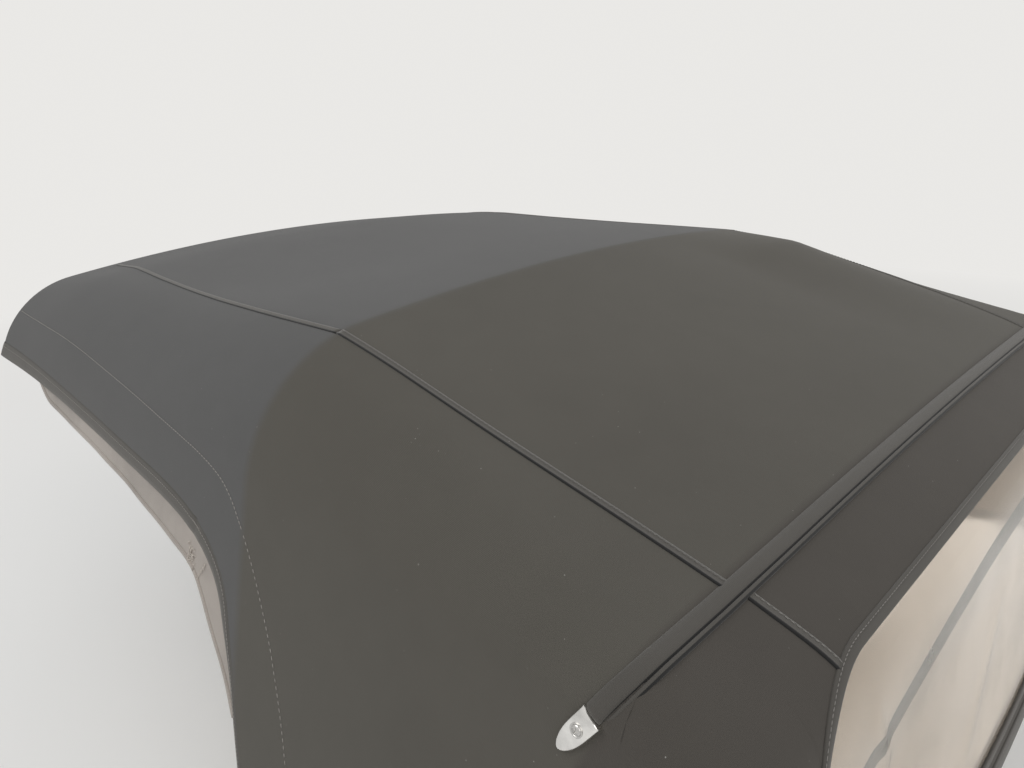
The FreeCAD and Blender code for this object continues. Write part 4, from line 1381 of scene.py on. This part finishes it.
# Sections of seams, tapes and hems: (across, up off the cloth). The first faces of a seam are its step, which takes a
# near-black painted shadow.
FRONT_SEAM_SECTION = (
    (-0.0022, -0.0006), (-0.0022, 0.0004), (-0.0014, 0.0009), (-0.0002, 0.0007), (0.0006, 0.0007), (0.0040, 0.0007),
    (0.0058, 0.0003), (0.0060, -0.0006),
)
REAR_SEAM_SECTION = (
    (-0.0022, -0.0006), (-0.0022, 0.0006), (-0.0015, 0.0012), (-0.0004, 0.0013), (0.0006, 0.0007), (0.0040, 0.0008),
    (0.0066, 0.0006), (0.0070, -0.0006),
)
CORNER_SEAM_SECTION = (
    (-0.0026, -0.0006), (-0.0026, 0.0004), (-0.0018, 0.0013), (-0.0006, 0.0015), (0.0004, 0.0009), (0.0046, 0.0010),
    (0.0060, 0.0006), (0.0062, -0.0006),
)
WINDOW_TAPE_SECTION = (
    (-0.0050, -0.0008), (-0.0050, 0.0005), (-0.0042, 0.0012), (0.0, 0.0014), (0.0032, 0.0013), (0.0042, 0.0008),
    (0.0045, -0.0002), (0.0042, -0.0012), (0.0, -0.0016),
)
SIDE_BAND_SECTION = (
    (-0.0060, -0.0037), (-0.0060, -0.0027), (0.0000, -0.0027), (0.0006, -0.0017), (0.0016, -0.0011), (0.0055, -0.0008),
    (0.0110, -0.0009), (0.0170, -0.0010), (0.0226, -0.0013), (0.0240, -0.0021), (0.0236, -0.0031), (0.0210, -0.0037),
    (0.0050, -0.0038),
)
FLAP_HEM_SECTION = (
    (-0.0062, 0.0001), (-0.0058, 0.0007), (-0.0040, 0.0010), (-0.0006, 0.0010), (0.0006, 0.0004), (0.0008, -0.0006),
    (0.0004, -0.0016), (-0.0006, -0.0020), (-0.0058, -0.0018),
)
BELT_HEM_SECTION = (
    (-0.0002, -0.0030), (-0.0010, -0.0008), (-0.0004, 0.0010), (0.0010, 0.0016), (0.0160, 0.0015), (0.0176, 0.0008),
    (0.0178, -0.0004),
)
# Seams take the tape and, on their step faces, the near-black painted shadow.
SEAM_KEYS, SEAM_STEP = ("tape", "groove"), range(3)


class BuildSeams(bpy.types.Operator):
    """Runs the felled seams and their stitching over the top"""
    bl_idname = "soft_top.seams"
    bl_label = "Seams"

    def execute(self, context):
        count, far_bow = 90, 0.034
        drawn = np.array(FRONT_SEAM)
        for name, x0, x1, profile, fold in (("front", MID_BOW[0], 0.9245, FRONT_SEAM_SECTION, None),
                                            ("rear", -0.2505, MID_BOW[0], REAR_SEAM_SECTION, "top")):
            xs = np.linspace(x1, x0, count)
            for side, sign in (("left", 1), ("right", -1)):
                ys = np.full(count, SEAM_Y) if fold else np.interp(xs, drawn[:, 0], drawn[:, 1])
                if fold and sign < 0:
                    ys += far_bow * np.sqrt(np.sin(np.pi * np.clip((xs - x0) / (x1 - x0), 0, 1)))
                p, n = roof_line([(x, sign * girth_at_y(x, y)) for x, y in zip(xs, ys)])
                # Across runs from the step with its painted shadow, outside, towards the middle of the car
                pieces = [sweep(f"{name}_seam_{side}", p, n, flipped(profile, -sign), SEAM_KEYS, SEAM_STEP)]
                if fold:
                    pieces.append(stitch_row(f"rear_seam_stitches_{side}", shifted(p, n, -0.0044 * sign, 0.0009), n,
                                             "worn_thread", pitch=0.0050, lift=0.0001, size=0.85))
                for o in pieces:
                    settle(o, FRONT, "cloth_trim", fold)
                    if fold and sign < 0:
                        raise_far_side(o)
        return {"FINISHED"}


def welt_line():
    """Middle line of the welt, right end to left, on the cloth, with its normals."""
    foot = girth_at_z(*WELT_LOW) + 0.0012
    made = []
    for g in np.linspace(-foot, foot, 320):
        z = on_roof(WELT_X, g)[0][2]
        # Below its drawn run the line goes on forwards
        x = np.interp(z, WELT_RUN[:, 1], WELT_RUN[:, 0]) + max(WELT_RUN[0, 1] - z, 0.0) * 0.55
        point, normal = roof_frame(max(x, REAR_BOW[0] + 0.0002), g)
        made.append(((x, *point[1:]), unit(np.array((-0.16, *normal[1:])))))
    return frames(made)


class BuildWelt(bpy.types.Operator):
    """Lays the flat welt and its bead over the rear bow"""
    bl_idname = "soft_top.welt"
    bl_label = "Welt"

    def execute(self, context):
        high = context.scene.soft_top_trim.welt_height
        # Across runs towards the back of the car; the faces on both sides of the bead take the near-black painted
        # shadow
        profile = [
            (-0.0088, -0.0030), (-0.0086, 0.0001), (-0.0080, 0.0006), (-0.0062, high * 0.80), (-0.0030, high),
            (0.0010, high * 0.98), (0.0036, high * 0.84), (0.0046, high * 0.50), (0.0050, 0.0002), (0.0056, 0.0001),
            (0.0060, 0.0008), (0.0067, 0.0013), (0.0076, 0.0013), (0.0084, 0.0007), (0.0088, 0.0000),
            (0.0095, -0.0006), (0.0095, -0.0042)]
        p, n = welt_line()
        back = side_towards(p, n, (-1, 0, 0))
        # It narrows to both ends, under the tips
        to_end = run_length(p)[-1] / 2 * (1 - np.abs(np.linspace(-1, 1, len(p))))
        keep = np.clip((to_end - 0.001) / 0.009, 0.02, 1.0)
        welt = sweep("welt_strip", p, n, flipped(profile, back), SEAM_KEYS, (7, 8, 9, 13, 14, 15),
                     narrow=(*sorted((-0.0100 * back, 0.0048 * back)), keep, 1))
        settle(welt, HOOP, "cloth_trim", node="welt")
        return {"FINISHED"}


def tip_turn():
    """Axes of the left tip: down its length, across it and out of the side wall."""
    lean, swing = math.radians(REAR_BOW[5]), math.radians(TIP_SWING)
    down = Vector((0, math.sin(lean), -math.cos(lean)))
    run = down * math.cos(swing) + Vector((1, 0, 0)) * math.sin(swing)
    out = Vector((0, math.cos(lean), math.sin(lean)))
    base, _ = side_line([WELT_LOW])
    axes = Matrix((run, out.cross(run), out)).transposed().to_4x4()
    return Matrix.Translation(Vector(base[0]) + out * 0.0002) @ axes


def pick(obj, kind, test):
    """Go into edit mode with only the faces or edges that pass the test selected."""
    bpy.ops.object.mode_set(mode="EDIT")
    bpy.ops.mesh.select_mode(type=kind)
    bpy.ops.mesh.select_all(action="DESELECT")
    bpy.ops.object.mode_set(mode="OBJECT")
    mesh = obj.data
    if kind == "FACE":
        for f in mesh.polygons:
            f.select = test(f.center, f.normal)
    else:
        for e in mesh.edges:
            a, b = (mesh.vertices[i] for i in e.vertices)
            e.select = test(a.co, b.co)
            if e.select:
                a.select = b.select = True
    bpy.ops.object.mode_set(mode="EDIT")


def apply_modifier(obj, kind, **settings):
    """Add a modifier with its settings and apply it."""
    make_active(obj)
    m = obj.modifiers.new(kind.lower(), kind)
    for key, value in settings.items():
        setattr(m, key, value)
    bpy.ops.object.modifier_apply(modifier=m.name)


def dress(obj, key):
    """Give the whole piece one material."""
    obj.data.materials.clear()
    obj.data.materials.append(material(key))


def out_of_edit(sharp=None):
    """Leave edit mode, shading the piece smooth up to an angle in degrees."""
    bpy.ops.object.mode_set(mode="OBJECT")
    if sharp:
        bpy.ops.object.shade_smooth_by_angle(angle=math.radians(sharp))


class BuildTips(bpy.types.Operator):
    """Shapes the bright metal tips at the ends of the welt, with their screws"""
    bl_idname = "soft_top.tips"
    bl_label = "Welt tips"

    def execute(self, context):
        length, half, high, straight = 0.0405, 0.0083, 0.0054, 0.0165
        slope = math.radians(2.5)
        # A half-round end, drawn out and extended by the straight part, with a sloping top and a rounded edge
        bpy.ops.mesh.primitive_cylinder_add(vertices=72, radius=half, depth=high, location=(0, 0, high / 2))
        tip = bpy.context.object
        bpy.ops.object.transform_apply()
        pick(tip, "FACE", lambda c, n: True)
        bpy.ops.mesh.bisect(plane_co=(0, 0, 0), plane_no=(1, 0, 0), clear_inner=True, use_fill=True)
        bpy.ops.mesh.select_all(action="SELECT")
        bpy.ops.transform.resize(value=((length - straight) / half, 1, 1), center_override=(0, 0, 0))
        pick(tip, "FACE", lambda c, n: n.x < -0.9)
        bpy.ops.mesh.extrude_region_move(TRANSFORM_OT_translate={"value": (-straight, 0, 0)})
        bpy.ops.mesh.select_all(action="SELECT")
        bpy.ops.transform.translate(value=(straight, 0, 0))
        bpy.ops.mesh.bisect(plane_co=(0, 0, high), plane_no=(math.sin(slope), 0, math.cos(slope)), clear_outer=True,
                            use_fill=True)
        out_of_edit()
        pick(tip, "EDGE", lambda a, b: min(a.z, b.z) > 0.003 and max(a.x, b.x) > 0.0003)
        bpy.ops.mesh.bevel(offset=0.0026, segments=4, profile=0.45)
        out_of_edit()
        apply_modifier(tip, "BEVEL", width=0.0003, segments=2, limit_method="ANGLE", angle_limit=math.radians(50))
        out_of_edit(24)
        # Countersunk washer and cross-slotted screw
        r, along = context.scene.soft_top_metal.screw_radius, 0.0148
        seat = (along, 0, high - along * math.tan(slope) + 0.0001)
        bpy.ops.mesh.primitive_cylinder_add(vertices=36, radius=r * 1.32, depth=0.0012, location=seat,
                                            rotation=(0, slope, 0))
        washer = bpy.context.object
        bpy.ops.object.transform_apply()
        pick(washer, "FACE", lambda c, n: n.z > 0.9)
        bpy.ops.mesh.inset(thickness=r * 0.2)
        bpy.ops.mesh.inset(thickness=r * 0.22, depth=-0.0005)
        out_of_edit(30)
        bpy.ops.mesh.primitive_uv_sphere_add(segments=32, ring_count=16, radius=r)
        head = bpy.context.object
        pick(head, "FACE", lambda c, n: True)
        bpy.ops.mesh.bisect(plane_co=(0, 0, 0), plane_no=(0, 0, 1), clear_inner=True, use_fill=True)
        bpy.ops.mesh.select_all(action="SELECT")
        bpy.ops.transform.resize(value=(1, 1, 0.36), center_override=(0, 0, 0))
        out_of_edit()
        for turn in (20, 110):
            bpy.ops.mesh.primitive_cube_add(size=1.0, location=(0, 0, r * 0.36), rotation=(0, 0, math.radians(turn)),
                                            scale=(r * 1.1, r * 0.26, 0.0014))
            cutter = bpy.context.object
            apply_modifier(head, "BOOLEAN", operation="DIFFERENCE", object=cutter, solver="EXACT")
            bpy.data.objects.remove(cutter)
        head.location, head.rotation_euler = seat, (0, slope, 0)
        make_active(head)
        bpy.ops.object.transform_apply()
        out_of_edit(30)
        for o in (tip, washer, head):
            dress(o, "chrome" if o is tip else "screw")
        left = joined([tip, washer, head], "tip_left")
        left.data.transform(tip_turn() @ left.matrix_world)
        left.matrix_world = Matrix.Identity(4)
        both_sides(left, HOOP, slot="bright_metal", node="welt_tip")
        return {"FINISHED"}


class BuildEdgeBinding(bpy.types.Operator):
    """Binds the cloth round the side openings, with its stitching and the line of stitches inboard of it"""
    bl_idname = "soft_top.edge_binding"
    bl_label = "Edge binding"

    def execute(self, context):
        line = OPENING_LINE[OPENING_LINE[:, 0] < 0.943]
        split = int(np.argmin(abs(line[:, 1] - SPLIT_Z)))
        for name, pairs, body, fold in (("front", line[:split + 4], FRONT, None),
                                        ("post", line[split - 3:], ROOT, "side")):
            p, n = side_line(pairs)
            # Each length dives under the other where they meet
            steps = np.arange(len(p))
            if body == FRONT:
                steps = steps[::-1]
            p = p - n * 0.0011 * np.clip(1 - steps / 7.0, 0, 1)[:, None]
            keep = 0.30 + 0.70 * eased(np.clip((pairs[:, 1] - 0.330) / 0.140, 0, 1))
            band = sweep(f"{name}_binding_left", p, n, SIDE_BAND_SECTION, narrow=(-0.0100, 0.0082, keep, 0))
            both_sides(band, body, fold)
            both_sides(stitch_row(f"{name}_binding_stitches_left", shifted(p, n, 0.0080, -0.0004), n, pitch=0.0042,
                                  lift=0.0002, size=0.8), body, fold)
        ahead = STITCH_PATH[:, 0] >= MID_BOW[0]
        for name, pairs, body, fold, pitch in (("front", STITCH_PATH[ahead], FRONT, None, 0.0052),
                                               ("side", STITCH_PATH[~ahead], ROOT, "side", 0.0068)):
            p, n = side_line(pairs)
            both_sides(stitch_row(f"{name}_line_stitches_left", p, n, pitch=pitch), body, fold)
        return {"FINISHED"}


def twin_sheets(name, node, grid, key, thickness, body, fold, held=None):
    """A thin sheet from a grid of points with their UV and its mirror image, both set on their body."""
    for side, sign in (("left", 1), ("right", -1)):
        points = grid.reshape(-1, 5) * (1, sign, 1, 1, 1)
        obj = new_mesh(f"{name}_{side}", points[:, :3], grid_faces(*grid.shape[:2]), points[:, 3:], [material(key)])
        area = face_out(obj)
        thicken(obj, thickness, 0)
        if held:
            declare_cloth(obj, area, held)
        settle(obj, body, key, fold, f"{node}_{side}")


def flap_rows(start, end, columns, rows):
    """Grid of the lining flap, with its UV, between two shares of its free edge: hidden top edge to free edge."""
    count, wide, deep = 400, 0.75, 0.06
    top = respaced(OPENING_LINE[(OPENING_LINE[:, 0] <= 0.7905) & (OPENING_LINE[:, 1] >= 0.290)], count)
    t = unit(np.gradient(top, axis=0))
    hidden = top + np.stack([t[:, 1], -t[:, 0]], 1) * 0.010
    edges = np.hstack([hidden, respaced(FLAP_LINE, count)])
    grid = []
    for f in np.linspace(start, end, columns):
        ends = at_lengths([f * (count - 1)], np.arange(count), edges)[0]
        line = []
        for h in np.linspace(0, 1, rows):
            x, z = ends[:2] * (1 - h) + ends[2:] * h
            wave = h * h * (0.0010 + 0.0006 * math.sin(19 * f + 0.6) + 0.0003 * math.sin(41 * f + 1.9 + 2 * h))
            point = on_roof(x, girth_at_z(x, z), -0.0046 + min(wave, 0.0030 * h))[0]
            line.append(np.append(point, (f * wide, h * deep)))
        grid.append(line)
    return np.array(grid)


class BuildLining(bpy.types.Operator):
    """Hangs the pale lining flaps inside the side openings"""
    bl_idname = "soft_top.lining"
    bl_label = "Lining flaps"

    def execute(self, context):
        split = 0.765
        for name, a, b, columns, body, fold in (("front", 0.0, split, 110, FRONT, "flap"),
                                                ("post", split, 1.0, 44, ROOT, "side")):
            grid = flap_rows(a, b, columns, 16)
            twin_sheets(f"{name}_flap", f"{name}_lining", grid, "lining", 0.0011, body, fold, "hung")
            edge, inner = grid[:, -1, :3], grid[:, -2, :3]
            n = np.cross(np.gradient(edge, axis=0), inner - edge)
            n = unit(n * np.sign(n[:, 1:2]))
            hem = sweep(f"{name}_flap_hem_left", edge, n, FLAP_HEM_SECTION, ("lining",))
            both_sides(hem, body, fold, "lining")
            both_sides(stitch_row(f"{name}_flap_stitches_left", shifted(edge, n, -0.0042, 0.0008), n, "brown_thread",
                                  pitch=0.0034, lift=0.0, size=0.55), body, fold)
        lining_tacks()
        frayed_threads()
        return {"FINISHED"}


def lining_tacks():
    """Four short rows of stitches that hold the flap's end to the post."""
    rows = []
    for k in range(4):
        ends = np.array(((0.272, 0.4405), (0.2755, 0.4315))) + (0.004 * k, -0.0050 * k)
        rows.append(stitch_row(f"tack_{k}", *side_line(ends), "fray", pitch=0.0030, lift=-0.0028, size=0.9))
    settle(joined(rows, "lining_tacks"), ROOT, "cloth_trim", "side")


def frayed_threads():
    """Loose thread ends where the front flap's end has frayed."""
    rng = np.random.default_rng(11)
    ring = [(0.00036 * math.cos(b), 0.00036 * math.sin(b)) for b in np.linspace(0, 2 * math.pi, 6)[:-1]]
    parts = []
    for k in range(42):
        x, z = rng.normal(0.303, 0.0045), rng.normal(0.436, 0.0055)
        (q,), (m,) = side_line([(x, z)])
        turn, bend = rng.uniform(0, 2 * math.pi), rng.normal(0, 0.9)
        high, length = rng.uniform(0.0004, 0.0034), rng.uniform(0.0035, 0.0085)
        side = np.cross(m, (1.0, 0.0, 0.0))
        line = []
        for t in np.linspace(0, 1, 7):
            a = turn + bend * t
            up = -0.0042 + high * math.sin(math.pi * t * 0.8)
            line.append(q + m * up + (np.array((math.cos(a), 0, 0)) + side * math.sin(a)) * length * t)
        parts.append(sweep(f"thread_{k}", line, [m] * len(line), ring, ("fray",)))
    settle(joined(parts, "frayed_threads"), FRONT, "cloth_trim", "flap")


def fan_line(pairs):
    """Points and normals on the back at (y, z) pairs."""
    vs = [v_at_y(y) for y, _ in pairs]
    return frames([fan_frame(u_at_z(abs(v), z), v) for v, (_, z) in zip(vs, pairs)])


class BuildWindowBinding(bpy.types.Operator):
    """Binds the rear window's edge, stitches it and sews the curtain's corner seams"""
    bl_idname = "soft_top.window_binding"
    bl_label = "Window binding"

    def execute(self, context):
        p, n = fan_line(pane_outline(300))
        out = side_towards(p, n, p[0] - p.mean(0))
        tape = sweep("window_tape", p, n, flipped(WINDOW_TAPE_SECTION, -out), caps=False)
        ride_back(tape, node="window_binding")
        ride_back(stitch_row("window_stitches", shifted(p, n, out * 0.0026, 0.0014), n, "grey_thread", pitch=0.0040,
                             lift=0.0001, size=0.75))
        # Corner seams, from the welt to the window's upper corners
        for side, sign in (("left", 1), ("right", -1)):
            p, n = fan_line(np.linspace((0.3785, 0.5868), (0.3675, 0.5545), 24) * (sign, 1))
            inward = side_towards(p, n, (0, -sign, 0))
            ride_back(sweep(f"corner_seam_{side}", p, n, flipped(CORNER_SEAM_SECTION, inward), SEAM_KEYS, SEAM_STEP))
            ride_back(stitch_row(f"corner_stitches_{side}", shifted(p, n, inward * 0.0042, 0.0011), n, "grey_thread",
                                 pitch=0.0042, lift=0.0001, size=0.75))
        return {"FINISHED"}


def belt_hem(name, p, n, k=0):
    """The folded band above a line along the belt, and its stitches; k is the point at which up is told."""
    up = side_towards(p, n, (0, 0, 1), k)
    yield sweep(name.format(""), p, n, flipped(BELT_HEM_SECTION, up))
    yield stitch_row(name.format("_stitches"), shifted(p, n, up * 0.0140, 0.0014), n, "grey_thread", lift=0.0)


class BuildBeltHem(bpy.types.Operator):
    """Folds and stitches the hem along the belt, round the sides and the back"""
    bl_idname = "soft_top.belt_hem"
    bl_label = "Belt hem"

    def execute(self, context):
        xs = np.linspace(BELT_FRONT[0] - 0.002, REAR_BOW[0], 60)
        for obj in belt_hem("side_hem{}_left", *side_line([(x, belt_z(x)) for x in xs])):
            both_sides(obj, ROOT, "side")
        vs = np.linspace(-0.985, 0.985, 201)
        for obj in belt_hem("back_hem{}", *frames([fan_frame(1.0, v) for v in vs]), k=100):
            ride_back(obj)
        return {"FINISHED"}


class BuildWebbing(bpy.types.Operator):
    """Stretches the webbing between the bows, under the cloth"""
    bl_idname = "soft_top.webbing"
    bl_label = "Webbing"

    def execute(self, context):
        ys = WEBBING_Y + np.linspace(-WEBBING_HALF, WEBBING_HALF, 9)
        for name, x0, x1, fold in (("front", MID_BOW[0], 0.799, None),
                                   ("rear", REAR_BOW[0] + 0.0005, MID_BOW[0] - 0.0005, "top")):
            grid = np.array([[np.append(on_roof(x, girth_at_y(x, y), -0.0044)[0], (x, y - ys[0])) for y in ys]
                             for x in np.linspace(x0, x1, 60)])
            twin_sheets(f"{name}_webbing", f"{name}_strap", grid, "webbing", 0.0018, FRONT, fold)
        return {"FINISHED"}


FINISHES = {
    "paint": ("bracket", "main_link", "control_link", "rear_arm", "side_rail", "rear_bow", "middle_bow", "belt_rail"),
    "header": ("header",),
    "rubber": ("header_seal", "rail_seal"),
    "steel": ("pivot_pin", "control_pin", "knee_pin", "link_pin"),
    "chrome": ("catch",),
    "webbing": ("front_strap", "rear_strap"),
}


class DressFrame(bpy.types.Operator):
    """Gives the painted frame, pins, header, seals and catches their finishes"""
    bl_idname = "soft_top.frame"
    bl_label = "Frame"

    def execute(self, context):
        finish = {base: key for key, bases in FINISHES.items() for base in bases}
        for name, obj in frame["nodes"].items():
            base = name.removesuffix("_left").removesuffix("_right")
            if base in finish:
                dress(obj, finish[base])
        return {"FINISHED"}


BACKDROP = (0.82, 0.81, 0.79, 1)
# Lamps: name, place, what it aims at, size, share of the lamps' power, tint
LAMPS = (
    ("key", (1.2, 2.2, 2.9), (0.2, 0, 0.4), 2.4, 0.85, (1, 0.99, 0.97)),
    ("fill", (-2.2, 1.6, 2.2), (0.1, 0, 0.3), 2.6, 0.50, (1, 0.98, 0.95)),
    ("rim", (-1.9, -2.2, 2.2), (-0.1, 0, 0.4), 2.4, 0.65, (1, 0.97, 0.94)),
)
CAMERA_PLACE, CAMERA_LENS = (-0.4397, 0.7704, 0.8911), 26.364
# Degrees to the right of +X, down, and rolled
CAMERA_TURN = (44.650, 20.846, -1.462)


def seen_rays(g):
    """1 for the rays that show a surface itself: from the camera, a mirror or glass."""
    path = g.node("ShaderNodeLightPath").outputs
    bent = g.math("MAXIMUM", path["Is Glossy Ray"], path["Is Transmission Ray"])
    return g.math("MAXIMUM", path["Is Camera Ray"], bent)


class BuildStage(bpy.types.Operator):
    """Sets the pale floor, the soft lamps and the camera"""
    bl_idname = "soft_top.stage"
    bl_label = "Stage"

    def execute(self, context):
        stage, scene = context.scene.soft_top_stage, context.scene
        bpy.ops.mesh.primitive_plane_add(size=60, location=(0, 0, -stage.floor_drop))
        floor = bpy.context.object
        floor.name = "floor"
        m, g, s, out = new_material("floor_paper")
        at = g.place()
        paper = g.mix(g.times(g.noise(at, 4.0, 3.0), 0.06), colour(stage.floor_colour), (0.7, 0.69, 0.67, 1))
        g.put(s.inputs["Base Color"], paper)
        g.put(s.inputs["Roughness"], 0.85)
        # Far off, the floor turns into the backdrop
        reach = g.node("ShaderNodeVectorMath", {0: at}, operation="LENGTH").outputs["Value"]
        far = g.range(reach, 1.1, 3.6)
        pale = g.node("ShaderNodeEmission", {0: BACKDROP, 1: 1.0}).outputs[0]
        mixed = g.node("ShaderNodeMixShader", {0: g.times(far, seen_rays(g)), 1: s.outputs[0], 2: pale})
        g.put(out.inputs["Surface"], mixed.outputs[0])
        floor.data.materials.append(m)
        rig.stage(floor)
        world = scene.world = bpy.data.worlds.new("studio")
        world.use_nodes = True
        w = Graph(world.node_tree)
        light = w.node("ShaderNodeBackground", {0: (0.93, 0.96, 1.0, 1), 1: 0.55}).outputs[0]
        back = w.node("ShaderNodeBackground", {0: BACKDROP, 1: 1.0}).outputs[0]
        mixed = w.node("ShaderNodeMixShader", {0: seen_rays(w), 1: light, 2: back})
        w.node("ShaderNodeOutputWorld", {0: mixed.outputs[0]})
        for name, place, aim, size, power, tint in LAMPS:
            lamp = bpy.data.lights.new(name, "AREA")
            lamp.size, lamp.energy, lamp.color = size, power * stage.lamp_power, tint
            obj = bpy.data.objects.new(name, lamp)
            scene.collection.objects.link(obj)
            obj.location = place
            obj.rotation_euler = (Vector(aim) - Vector(place)).to_track_quat("-Z", "Y").to_euler()
        camera = bpy.data.cameras.new("camera")
        camera.sensor_width, camera.lens = 36.0, CAMERA_LENS
        camera.clip_start, camera.clip_end = 0.01, 100.0
        view = bpy.data.objects.new("camera", camera)
        scene.collection.objects.link(view)
        yaw, pitch, roll = (math.radians(a) for a in CAMERA_TURN)
        ahead, right = Vector((math.cos(yaw), -math.sin(yaw), 0)), Vector((-math.sin(yaw), -math.cos(yaw), 0))
        up = Vector((0, 0, 1))
        look = ahead * math.cos(pitch) - up * math.sin(pitch)
        top = ahead * math.sin(pitch) + up * math.cos(pitch)
        x_axis = right * math.cos(roll) + top * math.sin(roll)
        y_axis = top * math.cos(roll) - right * math.sin(roll)
        turn = Matrix((x_axis, y_axis, -look)).transposed().to_4x4()
        view.matrix_world = Matrix.Translation(CAMERA_PLACE) @ turn
        scene.camera = view
        scene.view_settings.view_transform = "Standard"
        return {"FINISHED"}


class SoftTopPanel(bpy.types.Panel):
    """Lists the settings and the steps"""
    bl_idname = "VIEW3D_PT_soft_top"
    bl_label = "Soft top"
    bl_space_type = "VIEW_3D"
    bl_region_type = "UI"
    bl_category = "Soft top"

    def draw(self, context):
        layout = self.layout
        for group, names in SETTINGS:
            box = layout.box()
            values = getattr(context.scene, group)
            for key in names.__annotations__:
                box.prop(values, key)
        for step in STEPS:
            layout.operator(step.bl_idname)


SETTINGS = (("soft_top_cloth", SoftTopCloth), ("soft_top_trim", SoftTopTrim), ("soft_top_metal", SoftTopMetal),
            ("soft_top_stage", SoftTopStage))
STEPS = (
    DressFrame, BuildFrontCloth, BuildRearTop, BuildSidePanels, BuildCurtain, BuildWindowBinding, BuildSeams,
    BuildWelt, BuildTips, BuildEdgeBinding, BuildLining, BuildBeltHem, BuildWebbing, BuildStage,
)


def register():
    for group, kind in SETTINGS:
        bpy.utils.register_class(kind)
        setattr(bpy.types.Scene, group, bpy.props.PointerProperty(type=kind))
    for step in STEPS:
        bpy.utils.register_class(step)
    bpy.utils.register_class(SoftTopPanel)


def unregister():
    bpy.utils.unregister_class(SoftTopPanel)
    for step in reversed(STEPS):
        bpy.utils.unregister_class(step)
    for group, kind in reversed(SETTINGS):
        delattr(bpy.types.Scene, group)
        bpy.utils.unregister_class(kind)


def main():
    register()
    for step in STEPS:
        group, name = step.bl_idname.split(".")
        getattr(getattr(bpy.ops, group), name)()
    low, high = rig.bounds()
    with open("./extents.json", "w") as f:
        json.dump({"cad": [list(CAD_BOX[0]), list(CAD_BOX[1])], "visual": [list(low), list(high)]}, f)


if __name__ == "__main__":
    main()
